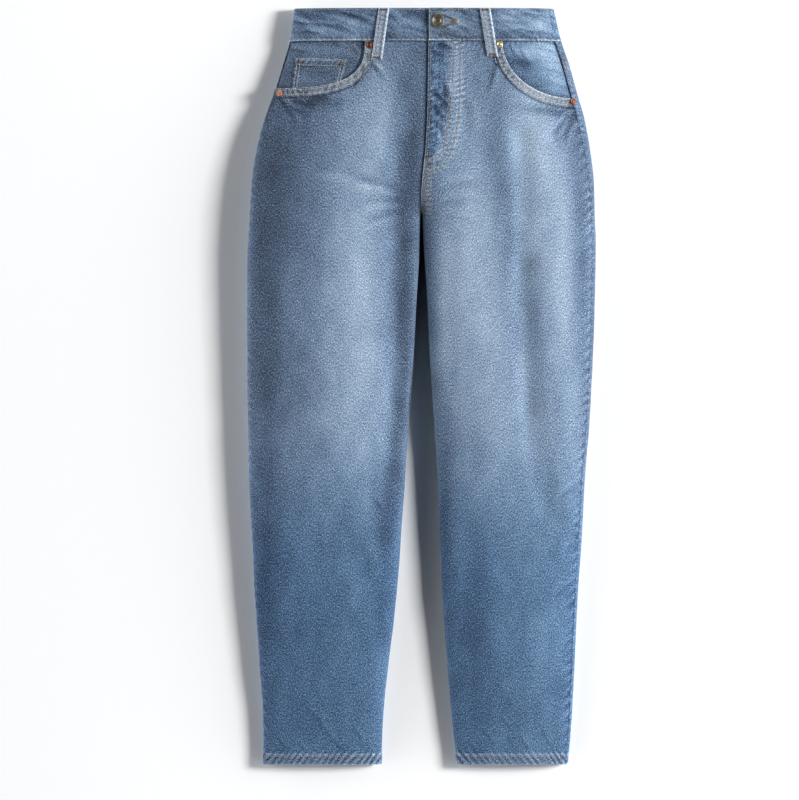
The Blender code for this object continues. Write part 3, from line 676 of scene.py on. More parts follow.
def noiseOn(nodes, links, vector, scale, detail, roughness=0.55, turn=0.0):
    # noise stretched along the cloth: its scale is in marks for each metre, across and along
    if turn:
        turned = nodes.new("ShaderNodeMapping")
        turned.inputs["Rotation"].default_value = (0.0, 0.0, turn)
        links.new(vector, turned.inputs["Vector"])
        vector = turned.outputs[0]
    mapping = nodes.new("ShaderNodeMapping")
    mapping.inputs["Scale"].default_value = scale
    links.new(vector, mapping.inputs["Vector"])
    noise = nodes.new("ShaderNodeTexNoise")
    noise.inputs["Scale"].default_value = 1.0
    noise.inputs["Detail"].default_value = detail
    noise.inputs["Roughness"].default_value = roughness
    links.new(mapping.outputs[0], noise.inputs["Vector"])
    return noise.outputs["Fac"]


weave = {
    "slub": (1150.0, 420.0, 1.0),  # marks for each metre, across and along the warp
    "speckle": (1000.0, 640.0, 1.0),
    "speckleTurn": math.radians(38.0),
    "weft": (420.0, 1250.0, 1.0),
    "cloud": (60.0, 34.0, 1.0),
    "gains": (1.5, 1.25, 0.65, 0.14),
    "twillPitch": 0.0011,
    "twillLean": 1.9,
}

# how worn the indigo is, and the colour it then has; painted shade and painted highlights move along the same
# ramp
indigo = (
    (0.00, (27, 40, 62)),
    (0.16, (45, 68, 97)),
    (0.36, (74, 107, 142)),
    (0.58, (114, 146, 177)),
    (0.78, (153, 180, 205)),
    (1.00, (214, 224, 231)),
)


def makeDenimGroup():
    group, given, out = newGroup(
        "washed denim",
        (("Cloth", "NodeSocketVector", None), ("Wash_and_shading", "NodeSocketFloat", 0.5),
         ("Dust", "NodeSocketFloat", 0.0), ("Grain", "NodeSocketFloat", 1.0)),
        (("Colour", "NodeSocketColor"), ("Roughness", "NodeSocketFloat"), ("Height", "NodeSocketFloat")),
    )
    nodes, links = group.nodes, group.links
    cloth = given.outputs["Cloth"]
    slub = noiseOn(nodes, links, cloth, weave["slub"], 2.0)
    speckle = noiseOn(nodes, links, cloth, weave["speckle"], 1.0, turn=weave["speckleTurn"])
    weft = noiseOn(nodes, links, cloth, weave["weft"], 1.0)
    cloud = noiseOn(nodes, links, cloth, weave["cloud"], 3.0)
    split = nodes.new("ShaderNodeSeparateXYZ")
    links.new(cloth, split.inputs[0])
    lean = math2(nodes, links, "MULTIPLY", split.outputs["X"], weave["twillLean"])
    across = math2(nodes, links, "ADD", lean, split.outputs["Y"])
    turns = math2(nodes, links, "MULTIPLY", across, 2 * math.pi / weave["twillPitch"])
    twill = math2(nodes, links, "SINE", turns, 0.0)
    total = None
    for value, gain in zip((slub, speckle, weft, cloud), weave["gains"]):
        part = math2(nodes, links, "MULTIPLY", math2(nodes, links, "SUBTRACT", value, 0.5), gain)
        total = part if total is None else math2(nodes, links, "ADD", total, part)
    grained = math2(nodes, links, "MULTIPLY", total, given.outputs["Grain"])
    # the channel holds the indigo's wear together with painted shade and painted highlights
    worn = math2(nodes, links, "ADD", given.outputs["Wash_and_shading"], grained, clamp=True)
    ramp = nodes.new("ShaderNodeValToRGB")
    while len(ramp.color_ramp.elements) < len(indigo):
        ramp.color_ramp.elements.new(0.5)
    for element, (place, colour) in zip(ramp.color_ramp.elements, indigo):
        element.position = place
        element.color = (*linear(*colour), 1.0)
    links.new(worn, ramp.inputs["Fac"])
    # dust takes the blue out of the worn cloth
    dusty = nodes.new("ShaderNodeHueSaturation")
    blue = math2(nodes, links, "MULTIPLY", given.outputs["Dust"], -0.62)
    links.new(math2(nodes, links, "ADD", blue, 1.0, clamp=True), dusty.inputs["Saturation"])
    links.new(ramp.outputs["Color"], dusty.inputs["Color"])
    links.new(dusty.outputs["Color"], out.inputs["Colour"])
    rough = math2(nodes, links, "ADD", math2(nodes, links, "MULTIPLY", slub, 0.12), 0.8)
    links.new(rough, out.inputs["Roughness"])
    raised = math2(nodes, links, "ADD", math2(nodes, links, "MULTIPLY", twill, 0.22), slub)
    links.new(math2(nodes, links, "ADD", raised, speckle), out.inputs["Height"])
    return group


denimGroup = makeDenimGroup()


def makeDenim(name, grain=1.0, bump=0.35):
    material = bpy.data.materials.new(name)
    material.use_nodes = True
    nodes, links = material.node_tree.nodes, material.node_tree.links
    shader = nodes["Principled BSDF"]
    shader.inputs["Specular IOR Level"].default_value = 0.18
    shader.inputs["Sheen Weight"].default_value = 0.12
    shader.inputs["Sheen Roughness"].default_value = 0.5
    cloth = nodes.new("ShaderNodeUVMap")
    cloth.uv_map = "cloth"
    denim = nodes.new("ShaderNodeGroup")
    denim.node_tree = denimGroup
    denim.inputs["Grain"].default_value = grain
    links.new(cloth.outputs["UV"], denim.inputs["Cloth"])
    for mask in ("Wash_and_shading", "Dust"):
        read = nodes.new("ShaderNodeAttribute")
        read.attribute_name = mask.lower()
        links.new(read.outputs["Fac"], denim.inputs[mask])
    links.new(denim.outputs["Colour"], shader.inputs["Base Color"])
    links.new(denim.outputs["Roughness"], shader.inputs["Roughness"])
    raised = nodes.new("ShaderNodeBump")
    raised.inputs["Strength"].default_value = bump
    raised.inputs["Distance"].default_value = 0.0004
    links.new(denim.outputs["Height"], raised.inputs["Height"])
    links.new(raised.outputs["Normal"], shader.inputs["Normal"])
    return material


def makeThread(name, colour, spread):
    material = bpy.data.materials.new(name)
    material.use_nodes = True
    nodes, links = material.node_tree.nodes, material.node_tree.links
    shader = nodes["Principled BSDF"]
    shader.inputs["Roughness"].default_value = 0.7
    shader.inputs["Specular IOR Level"].default_value = 0.3
    place = nodes.new("ShaderNodeTexCoord")
    noise = noiseOn(nodes, links, place.outputs["Object"], (260.0, 260.0, 260.0), 2.0)
    ramp = nodes.new("ShaderNodeValToRGB")
    ramp.color_ramp.elements[0].position = 0.32
    ramp.color_ramp.elements[1].position = 0.68
    ramp.color_ramp.elements[0].color = (*linear(*(max(c - spread, 0) for c in colour)), 1.0)
    ramp.color_ramp.elements[1].color = (*linear(*(min(c + spread, 255) for c in colour)), 1.0)
    links.new(noise, ramp.inputs["Fac"])
    links.new(ramp.outputs["Color"], shader.inputs["Base Color"])
    return material


def makeMetal(name, dark, bright, roughness):
    material = bpy.data.materials.new(name)
    material.use_nodes = True
    nodes, links = material.node_tree.nodes, material.node_tree.links
    shader = nodes["Principled BSDF"]
    shader.inputs["Metallic"].default_value = 0.9
    place = nodes.new("ShaderNodeTexCoord")
    patina = noiseOn(nodes, links, place.outputs["Object"], (420.0, 420.0, 420.0), 4.0, 0.65)
    ramp = nodes.new("ShaderNodeValToRGB")
    ramp.color_ramp.elements[0].position = 0.3
    ramp.color_ramp.elements[1].position = 0.7
    ramp.color_ramp.elements[0].color = (*linear(*dark), 1.0)
    ramp.color_ramp.elements[1].color = (*linear(*bright), 1.0)
    links.new(patina, ramp.inputs["Fac"])
    links.new(ramp.outputs["Color"], shader.inputs["Base Color"])
    rough = math2(nodes, links, "ADD", math2(nodes, links, "MULTIPLY", patina, 0.3), roughness - 0.15)
    links.new(rough, shader.inputs["Roughness"])
    raised = nodes.new("ShaderNodeBump")
    raised.inputs["Strength"].default_value = 0.12
    raised.inputs["Distance"].default_value = 0.0002
    links.new(patina, raised.inputs["Height"])
    links.new(raised.outputs["Normal"], shader.inputs["Normal"])
    return material


finishes = {
    "denim": makeDenim("denim_panel"),
    "facing": makeDenim("denim_facing", 0.9),
    "trim": makeDenim("denim_trim", 0.8),
    "tanThread": makeThread("thread_tan", (128, 126, 120), 24),
    "goldThread": makeThread("thread_gold", (168, 126, 72), 28),
    "paleThread": makeThread("thread_pale", (164, 168, 164), 24),
    "pewter": makeMetal("button_pewter", (84, 78, 70), (136, 130, 118), 0.46),
    "darkCopper": makeMetal("rivet_dark_copper", (78, 44, 32), (142, 88, 64), 0.42),
    "copper": makeMetal("rivet_copper", (128, 78, 56), (206, 146, 116), 0.4),
    "brass": makeMetal("rivet_brass", (170, 140, 96), (240, 222, 182), 0.36),
}
print("stage: finishes")

# Cloth pieces


def measured(points):
    # area of a grid of points in square metres, its greatest width and its length in metres
    right = points[:-1, 1:] - points[:-1, :-1]
    up = points[1:, :-1] - points[:-1, :-1]
    area = np.linalg.norm(np.cross(right, up), axis=-1).sum() * mm**2
    width = np.linalg.norm(np.diff(points, axis=1), axis=-1).sum(axis=1).max() * mm
    length = np.linalg.norm(np.diff(points, axis=0), axis=-1).sum(axis=0).max() * mm
    return {"area": min(float(area), float(width * length)), "flat": (float(width), float(length))}


def gridNormals(points, flip):
    normals = np.cross(np.gradient(points, axis=1), np.gradient(points, axis=0))
    normals /= np.maximum(np.linalg.norm(normals, axis=-1, keepdims=True), 1e-9)
    return -normals if flip else normals


def makeSheet(node, points, cloth, looks, flip, thickness, finish):
    # a sheet through a grid of points, rows by columns, given its wall inwards of them, in a solid's place
    name = f"cloth_{node}"
    rows, columns = points.shape[:2]
    index = np.arange(rows * columns).reshape(rows, columns)
    corners = np.stack([index[:-1, :-1], index[:-1, 1:], index[1:, 1:], index[1:, :-1]], axis=-1)
    corners = corners.reshape(-1, 4)
    if flip:
        corners = corners[:, ::-1]
    mesh = bpy.data.meshes.new(name)
    mesh.from_pydata((points.reshape(-1, 3) * mm).tolist(), [], corners.tolist())
    layer = mesh.uv_layers.new(name="cloth")
    layer.data.foreach_set("uv", (cloth.reshape(-1, 2)[corners.ravel()] * mm).ravel())
    for mask, values in looks.items():
        attribute = mesh.attributes.new(mask, "FLOAT", "POINT")
        spread = np.broadcast_to(values, (rows, columns)).ravel()
        attribute.data.foreach_set("value", spread.astype(np.float32))
    piece = bpy.data.objects.new(name, mesh)
    bpy.context.scene.collection.objects.link(piece)
    bpy.ops.object.select_all(action="DESELECT")
    piece.select_set(True)
    bpy.context.view_layer.objects.active = piece
    wall = piece.modifiers.new("Wall", "SOLIDIFY")
    wall.thickness = thickness * mm
    wall.offset = -1.0
    bpy.ops.object.modifier_apply(modifier="Wall")
    bpy.ops.object.shade_smooth_by_angle(angle=math.radians(50.0))
    piece.data.materials.append(finishes[finish])
    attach(piece, "root")
    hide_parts(node)
    size = measured(points)
    print(f"   {name}: {size['flat'][0]:.3f} by {size['flat'][1]:.3f} m, {size['area']:.4f} m2")
    return {"piece": piece, "points": points, "normals": gridNormals(points, flip), "size": size}


# where each sheet starts in the weave, so that no two show the same stretch of it
clothStart = {
    "back_left": 1400.0,
    "back_right": 2100.0,
    "yoke_left": 2800.0,
    "yoke_right": 3300.0,
    "facing_left": 3900.0,
    "facing_right": 4300.0,
    "coin_pocket": 4900.0,
    "fly_shield": 5300.0,
    "waistband": 5800.0,
    "back_pocket_left": 7400.0,
    "back_pocket_right": 7900.0,
}


def clothPlace(name, x, y):
    return np.stack([x + clothStart[name], y], axis=-1)


def crowded(count, crowding):
    steps = np.linspace(0.0, 1.0, count + 1)
    return steps - crowding * np.sin(2 * math.pi * steps)


frontPanel = {
    "mouthColumns": 42,
    "waistColumns": 48,
    "crowding": 0.065,
    "rowStep": 2.7,
    "ruledRows": 46,
    "hemRows": (0.0, 0.5, 1.2, 2.2, 3.6, 5.0, 6.4, 7.8, 9.2, 10.6, 12.0, 13.2, 14.0, 14.6, 15.4, 16.6,
                18.0, 20.0),
    "mouthInsets": (14.4, 13.2, 12.5, 11.9, 11.2, 9.8, 8.4, 7.0, 5.6, 4.2, 3.0, 2.0, 1.2, 0.5, 0.0),
    "flat": (0.268, 0.985),
}


def hemRise(y):
    up = y - form["hemY"]
    return form["hemRise"] * (1 - ease((up - 13.4) / 1.4)) - 0.35 * (1 - ease(up / 1.1))


def mouthRise(side, x, y):
    # the turned band of the pocket mouth, and its rounded edge
    inset, _, _ = nearLine(x, y, mouthLine(side, 0.0))
    top = ease((form["waistSeamY"] + 2.0 - y) / 3.0)
    return (form["mouthRise"] * (1 - ease((inset - 11.3) / 1.3)) - 0.3 * (1 - ease(inset / 0.9))) * top, inset


def frontHeight(side, x, y):
    # all that stands off the smooth form, in millimetres, and the wear, painted shade, painted highlights and
    # dust that go with it
    height, wash_and_shading = frontLook(x, y)
    more, worn = seamLook(side, x, y)
    rise, inset = mouthRise(side, x, y)
    height = height * ease((y - form["hemY"]) / 12.0) + more + rise + hemRise(y)
    height += lapRise(side, x, y) - foldDepth(x, y)
    wash_and_shading = wash_and_shading + worn
    # the band's worn edge with a painted highlight along it, the band a little darker, and painted shade
    # gathered in its groove beside it
    band = 1 - ease((inset - 11.2) / 1.6)
    wash_and_shading += 0.34 * hump(inset, 1.0) - 0.04 * band - 0.30 * hump(inset - 12.6, 1.2)
    dust = 0.34 * ease((y + 270.0) / 250.0) + 0.5 * band + 0.3 * (1 - ease((y - form["hemY"] - 11.0) / 4.0))
    down = form["waistSeamY"] - y
    # painted shade in the groove under the waist seam
    wash_and_shading -= 0.34 * hump(down - 0.4, 1.3)
    if side == "right":
        fromLap = lapX(y) - x
        # painted shadow cast by the lapped left front, beside its edge
        wash_and_shading -= 0.5 * hump(fromLap, 2.6) * ease((y - 222.0) / 10.0)
    else:
        fromLap = x - lapX(y)
        above = ease((y - 222.0) / 10.0)
        # worn edge with a painted highlight along it, and painted shade in the groove beside it
        wash_and_shading += above * (0.36 * hump(fromLap, 0.9) - 0.16 * hump(fromLap - 3.4, 1.3))
        strip = above * (1 - ease((y - 296.0) / 6.0)) * (1 - ease((fromLap - 12.0) / 2.0))
        wash_and_shading += 0.06 * strip
        dust += 0.3 * strip
        # mottling between the edge and the rows of the fly
        fly = above * ease((fromLap - 1.5) / 2.0) * (1 - ease((fromLap - 18.0) / 9.0))
        fly = fly * ease((y - 292.0) / 8.0)
        wash_and_shading += fly * (0.16 * softNoise(x, y, 2.6, 26.0, 71) + 0.15 * softNoise(x, y, 6.0, 5.0, 72))
        dust -= 0.2 * fly
        for row in flyRows.values():
            off, _, _ = nearLine(x, y, row)
            # painted shade along each row's groove, with lighter wear beside it
            wash_and_shading += 0.12 * hump(off, 3.4) - 0.20 * hump(off, 1.0)
            dust += 0.25 * hump(off, 3.4)
    return height, wash_and_shading, dust


def frontEdge(side, inset):
    # shares and heights along the top of the front: its pocket mouth, then the waist seam
    mouth = mouths[side]
    top = form["waistSeamY"] - form["seamGap"] / 2 - inset
    x, y = mouthPoint(side, mouthTurns(side, frontPanel["mouthColumns"]), inset)
    x[-1] = mouth["topX"] - math.copysign(1.0, mouth["topX"]) * inset
    y[-1] = top
    y = np.minimum(y, top)
    share = shareAt(side, "front", x, y)
    share[0] = 0.0
    more = share[-1] + (1 - share[-1]) * np.linspace(0.0, 1.0, frontPanel["waistColumns"] + 1)[1:]
    return np.concatenate([share, more]), np.concatenate([y, np.full(len(more), top)])


def frontSurface(side, x, y):
    # points on the front's outer side, and its smooth normals, at plan points
    base, normal = smoothSurface(side, "front", shareAt(side, "front", x, y), y, form["seamGap"])
    height, _, _ = frontHeight(side, base[..., 0], y)
    return base + normal * height[..., None], normal


def makeFront(side):
    base = crowded(frontPanel["mouthColumns"] + frontPanel["waistColumns"], frontPanel["crowding"])
    hem = form["hemY"] + np.array(frontPanel["hemRows"])
    up = np.arange(hem[-1] + frontPanel["rowStep"], form["ruledFromY"], frontPanel["rowStep"])
    heights = np.concatenate([hem, up])
    shares = [np.tile(base, (len(heights), 1))]
    ys = [np.tile(heights[:, None], (1, len(base)))]
    bandShare, bandY = frontEdge(side, frontPanel["mouthInsets"][0])
    last = heights[-1]
    for r in range(1, frontPanel["ruledRows"]):
        t = r / frontPanel["ruledRows"]
        shares.append((base + (bandShare - base) * t)[None])
        ys.append((last + (bandY - last) * t)[None])
    for inset in frontPanel["mouthInsets"]:
        edgeShare, edgeY = frontEdge(side, inset)
        shares.append(edgeShare[None])
        ys.append(edgeY[None])
    share, y = np.vstack(shares), np.vstack(ys)
    points, normal = smoothSurface(side, "front", share, y, form["seamGap"])
    height, wash_and_shading, dust = frontHeight(side, points[..., 0], y)
    cloth = np.stack([share * faceLength(side, "front", y), y], axis=-1)
    if side == "left":
        cloth[..., 0] += 700.0
    points = points + normal * height[..., None]
    return makeSheet(f"front_{side}", points, cloth, {"wash_and_shading": wash_and_shading, "dust": dust}, side != "right",
                     form["denim"], "denim")


fronts = {side: makeFront(side) for side in ("right", "left")}
print("stage: fronts")

# Back of each leg, and the yokes, which lie under it all and show at the sides

# Creases of the back: x0, y0, x1, y1, bow, width, depth, wear
backCreases = (
    (-186.0, 196.0, -70.0, 176.0, 8.0, 6.0, 1.2, 0.10),
    (-170.0, 160.0, -58.0, 148.0, -6.0, 5.0, 0.9, 0.09),
    (-150.0, 214.0, -40.0, 202.0, 6.0, 5.0, 0.9, 0.08),
    (-120.0, 128.0, -36.0, 96.0, 5.0, 6.0, 0.8, 0.06),
    (-190.0, -40.0, -92.0, -64.0, 6.0, 5.0, 1.1, 0.10),
    (-176.0, -84.0, -70.0, -70.0, -5.0, 5.0, 1.0, 0.10),
    (-184.0, -120.0, -86.0, -148.0, 4.0, 4.6, 0.9, 0.08),
    (-140.0, -22.0, -56.0, -12.0, 4.0, 5.0, 0.7, 0.06),
    (-168.0, -402.0, -142.0, -424.0, 1.0, 2.4, 0.6, 0.09),
    (-120.0, -440.0, -98.0, -466.0, -1.0, 2.4, 0.6, 0.09),
    (52.0, 178.0, 176.0, 204.0, -7.0, 6.0, 1.1, 0.10),
    (60.0, 146.0, 186.0, 162.0, 6.0, 5.0, 1.0, 0.09),
    (44.0, 208.0, 132.0, 216.0, 4.0, 5.0, 0.8, 0.07),
    (38.0, 104.0, 110.0, 126.0, -4.0, 6.0, 0.8, 0.06),
    (78.0, -52.0, 190.0, -36.0, 6.0, 5.0, 1.1, 0.10),
    (66.0, -88.0, 170.0, -98.0, -4.0, 5.0, 0.9, 0.09),
    (92.0, -132.0, 184.0, -118.0, 5.0, 4.6, 0.8, 0.08),
    (84.0, -430.0, 108.0, -458.0, 1.0, 2.4, 0.6, 0.09),
    (132.0, -398.0, 150.0, -420.0, -1.0, 2.4, 0.5, 0.08),
)

# Washed patches of the back
backWash = (
    (-104.0, 290.0, 66.0, 90.0, 0.0, 0.16),
    (104.0, 290.0, 66.0, 90.0, 0.0, 0.15),
    (-118.0, 60.0, 58.0, 170.0, 0.0, 0.12),
    (116.0, 50.0, 56.0, 180.0, 0.0, 0.12),
    (-206.0, 60.0, 26.0, 330.0, 0.0, -0.12),
    (224.0, 60.0, 18.0, 340.0, 0.0, -0.18),
    (0.0, 260.0, 16.0, 120.0, 0.0, -0.08),
    (-112.0, -60.0, 40.0, 60.0, 0.0, -0.05),
    (116.0, -64.0, 40.0, 60.0, 0.0, -0.05),
)

backPanel = {
    "columns": 84,
    "crowding": 0.12,
    "rowStep": 4.4,
    "yokeRows": 17,
    "yokeSide": 424.0,
    "yokeCentre": 386.0,
}


def yokeSeam(share):
    return backPanel["yokeSide"] + (backPanel["yokeCentre"] - backPanel["yokeSide"]) * share


def backHeight(side, x, y, share):
    height = 0.3 * softNoise(x, y, 40.0, 46.0, 15) + 0.2 * softNoise(x, y, 15.0, 21.0, 16)
    wash_and_shading = readCurve(washOfHeight, 1, y) - 0.03 + patches(backWash, x, y)
    wash_and_shading = wash_and_shading + 0.035 * softNoise(x, y, 26.0, 40.0, 18) + 0.03 * softNoise(x, y, 9.0, 22.0, 19)
    more, worn = creased(backCreases, x, y)
    height, wash_and_shading = height + more, wash_and_shading + worn
    up = y - form["hemY"]
    ripple = rope(x, up, 8.2, 0.75 if side == "right" else -0.75, 91)
    fade = ease((up + 2.0) / 3.0) * (1 - ease((up - 11.0) / 12.0))
    height += 0.3 * ripple * fade - 0.35 * (1 - ease(up / 1.1)) - 0.3 * hump(up - 14.2, 0.8)
    wash_and_shading += 0.2 * ripple * fade + 0.2 * hump(up, 1.6) + 0.14 * hump(up - 13.6, 1.3)
    length = faceLength(side, "back", y)
    across = x if np.ptp(y) < 80 else y  # a yoke's seams run across it
    for line, gain, run in ((share * length, 1.0, y), ((1 - share) * length, 0.7, across),
                            (y - yokeSeam(share), 0.9, across), (form["waistSeamY"] - y, 0.7, across)):
        ripple = rope(run, line, 7.4, 0.4, 95)
        fade = hump(line, 7.0)
        height += 0.25 * gain * ripple * fade - 0.3 * hump(line, 1.0)
        wash_and_shading += (0.13 * ripple + 0.05) * gain * fade
    dust = 0.34 * ease((y + 270.0) / 250.0) + 0.3 * (1 - ease((up - 11.0) / 4.0))
    return height, wash_and_shading, dust


def backSurface(side, share, y, rise=0.0):
    base, normal = smoothSurface(side, "back", share, y, form["seamGap"])
    height, wash_and_shading, dust = backHeight(side, base[..., 0], base[..., 1], share)
    points = base + normal * (height + rise)[..., None]
    points[..., 2] = np.maximum(points[..., 2], base[..., 2] * (normal[..., 2] < -0.5))
    return points, normal, wash_and_shading, dust


def makeBack(side):
    base = crowded(backPanel["columns"], backPanel["crowding"])
    hem = form["hemY"] + np.array(frontPanel["hemRows"])
    up = np.arange(hem[-1] + backPanel["rowStep"], form["ruledFromY"], backPanel["rowStep"])
    heights = np.concatenate([hem, up])
    shares = np.tile(base, (len(heights) + 24, 1))
    ys = [np.tile(heights[:, None], (1, len(base)))]
    top = yokeSeam(base) - form["seamGap"] / 2
    for r in range(1, 25):
        ys.append((heights[-1] + (top - heights[-1]) * r / 24)[None])
    y = np.vstack(ys)
    points, _, wash_and_shading, dust = backSurface(side, shares, y)
    cloth = clothPlace(f"back_{side}", shares * faceLength(side, "back", y), y)
    return makeSheet(f"back_{side}", points, cloth, {"wash_and_shading": wash_and_shading, "dust": dust}, side == "right",
                     form["denim"], "denim")


def makeYoke(side):
    base = crowded(backPanel["columns"], backPanel["crowding"])
    low = yokeSeam(base) + form["seamGap"] / 2
    steps = np.linspace(0.0, 1.0, backPanel["yokeRows"] + 1)[:, None]
    y = low + (form["waistSeamY"] - form["seamGap"] / 2 - low) * steps
    share = np.tile(base, (len(steps), 1))
    points, _, wash_and_shading, dust = backSurface(side, share, y)
    cloth = clothPlace(f"yoke_{side}", share * faceLength(side, "back", y), y)
    return makeSheet(f"yoke_{side}", points, cloth, {"wash_and_shading": wash_and_shading - 0.04, "dust": dust}, side == "right",
                     form["denim"], "denim")


backs = {side: makeBack(side) for side in ("right", "left")}
yokes = {side: makeYoke(side) for side in ("right", "left")}
print("stage: backs and yokes")

# Pieces under the front: pocket facings, coin pocket and fly underlap

facing = {
    "lap": 14.0,
    "drop": 0.9,
    "wall": 1.0,
    "columns": 84,
    "rows": 40,
    "lastTurn": math.radians(83.0),
    "dust": {"left": 0.2, "right": 0.4},
}
coin = {
    "top": ((-166.5, 435.1), (-97.9, 432.4)),
    "footX": (-171.5, -105.6),
    "wall": 1.0,
    "columns": 56,
    "rows": 34,
    "hem": 10.6,
    "dust": 0.42,
}
shield = {"x": (-12.0, 42.0), "y": (286.0, 456.0), "drop": 0.8, "columns": 26, "rows": 64}

# Washed patches of the facings
facingWash = (
    (-122.0, 446.0, 38.0, 7.0, -6.0, 0.12),
    (-160.0, 405.0, 26.0, 12.0, 6.0, 0.04),
    (132.0, 429.0, 17.0, 7.0, -14.0, -0.26),
    (150.0, 447.0, 46.0, 16.0, 0.0, 0.22),
    (168.0, 432.0, 24.0, 26.0, 0.0, 0.24),
    (184.0, 398.0, 18.0, 20.0, 0.0, 0.16),
    (-185.0, 425.0, 8.0, 30.0, 0.0, -0.08),
)

# Creases of the facings
facingCreases = (
    (-178.0, 448.0, -150.0, 441.0, 1.0, 2.2, 0.4, 0.12),
    (-176.0, 420.0, -166.0, 404.0, 1.0, 2.2, 0.4, 0.10),
    (-116.0, 455.0, -96.0, 447.0, -1.0, 2.2, 0.4, 0.12),
    (-94.0, 450.0, -82.0, 436.0, 1.0, 2.0, 0.4, 0.12),
    (116.0, 452.0, 128.0, 434.0, -1.0, 2.6, 0.5, 0.14),
    (130.0, 448.0, 146.0, 424.0, -2.0, 3.0, 0.5, 0.12),
    (150.0, 450.0, 178.0, 441.0, 1.0, 2.6, 0.4, 0.12),
    (160.0, 420.0, 190.0, 412.0, 2.0, 2.8, 0.4, 0.10),
    (168.0, 402.0, 196.0, 394.0, 1.0, 2.6, 0.4, 0.10),
)


def underLook(side, x, y):
    height = 0.35 * softNoise(x, y, 34.0, 46.0, 5) + 0.22 * softNoise(x, y, 13.0, 21.0, 6)
    more, _ = creased(frontCreases, x, y)
    own, worn = creased(facingCreases, x, y)
    wash_and_shading = (0.21 if side == "right" else 0.27) + patches(facingWash, x, y) + worn
    wash_and_shading = wash_and_shading + 0.05 * softNoise(x, y, 20.0, 18.0, 28) + 0.04 * softNoise(x, y, 7.0, 9.0, 29)
    return height + more + 0.5 * np.minimum(own, 0.0), wash_and_shading


def underSurface(side, x, y, rise):
    base, normal = smoothSurface(side, "front", shareAt(side, "front", x, y), y, form["seamGap"])
    height, wash_and_shading = underLook(side, base[..., 0], y)
    height = height + rise + lapRise(side, x, y) - foldDepth(x, y)
    return base + normal * height[..., None], normal, wash_and_shading


def makeFacing(side):
    turns = np.linspace(0.0, facing["lastTurn"], facing["columns"] + 1)
    x, low = mouthPoint(side, turns, facing["lap"])
    steps = np.linspace(0.0, 1.0, facing["rows"] + 1)[:, None]
    y = low + (form["waistSeamY"] - form["seamGap"] - low) * steps
    x = np.broadcast_to(x, y.shape).copy()
    share = shareAt(side, "front", x, y)
    share[:, 0] = 0.0
    base, normal = smoothSurface(side, "front", share, y, form["seamGap"])
    height, wash_and_shading = underLook(side, base[..., 0], y)
    rise = -(form["denim"] + facing["drop"])
    plainX = base[..., 0]
    height = height + rise + lapRise(side, plainX, y) - foldDepth(plainX, y)
    points = base + normal * height[..., None]
    down = form["waistSeamY"] - y
    ripple = rope(x, down, 6.4, 0.2, 61)
    # puckers under the waist seam, and painted shade in the groove beneath it
    wash_and_shading += 0.10 * ripple * hump(down, 7.0) - 0.20 * hump(down - 0.4, 1.3)
    # painted shade along the facing beside the overhanging pocket mouth
    inset, _, _ = nearLine(x, y, mouthLine(side, 0.0))
    wash_and_shading -= 0.16 * hump(inset, 3.4)
    cloth = clothPlace(f"facing_{side}", x * 0.97, y + 0.12 * x)
    return makeSheet(f"pocket_facing_{side}", points, cloth, {"wash_and_shading": wash_and_shading, "dust": facing["dust"][side]},
                     side != "right", facing["wall"], "facing")


def coinPlace(across, up):
    # plan point of the coin pocket, across and up its own outline
    (leftX, leftY), (rightX, rightY) = coin["top"]
    line = mouthLine("right", 0.0)
    footX = coin["footX"][0] + (coin["footX"][1] - coin["footX"][0]) * across
    footY = np.interp(footX, line[:, 0], line[:, 1]) + 2 * form["seamGap"]
    topX = leftX + (rightX - leftX) * across
    topY = leftY + (rightY - leftY) * across
    return footX + (topX - footX) * up, footY + (topY - footY) * up


def coinHeight(across, up):
    # the coin pocket stands on the facing, with a turned hem along its top
    width = math.dist(*coin["top"])
    fromTop = (1 - up) * 38.0
    fromEdge = np.minimum(across, 1 - across) * width
    rise = 0.35 * (1 - ease((fromTop - coin["hem"] + 1.0) / 1.4)) - 0.3 * (1 - ease(fromTop / 0.9))
    rise -= 0.3 * (1 - ease(fromEdge / 0.9))
    ripple = rope(across * width, fromTop, 7.2, 0.5, 63)
    band = hump(fromTop - 5.0, 6.0)
    sideRipple = rope(fromTop, fromEdge, 6.2, 0.3, 65)
    wash_and_shading = 0.16 * ripple * band + 0.30 * hump(fromTop, 1.2)
    wash_and_shading += 0.16 * hump(fromEdge, 1.3) + 0.08 * sideRipple * hump(fromEdge, 5.0)
    wash_and_shading -= 0.14 * hump(fromTop - coin["hem"], 1.2)
    return rise + 0.2 * ripple * band, wash_and_shading


def makeCoinPocket():
    edge = np.linspace(0.0, 1.0, coin["columns"] - 3)
    across = np.concatenate([[0.0, 0.012], edge[1:-1], [0.988, 1.0]])
    across = np.sort(across)
    up = np.sort(np.concatenate([np.linspace(0.0, 1.0, coin["rows"]), [0.99, 0.975]]))
    across, up = np.meshgrid(across, up)
    x, y = coinPlace(across, up)
    rise = -(form["denim"] + facing["drop"]) + form["seamGap"] + coin["wall"]
    more, worn = coinHeight(across, up)
    points, normal, wash_and_shading = underSurface("right", x, y, rise)
    points = points + normal * more[..., None]
    cloth = clothPlace("coin_pocket", x, y)
    return makeSheet("coin_pocket", points, cloth, {"wash_and_shading": wash_and_shading + worn - 0.02, "dust": coin["dust"]}, False,
                     coin["wall"], "facing")


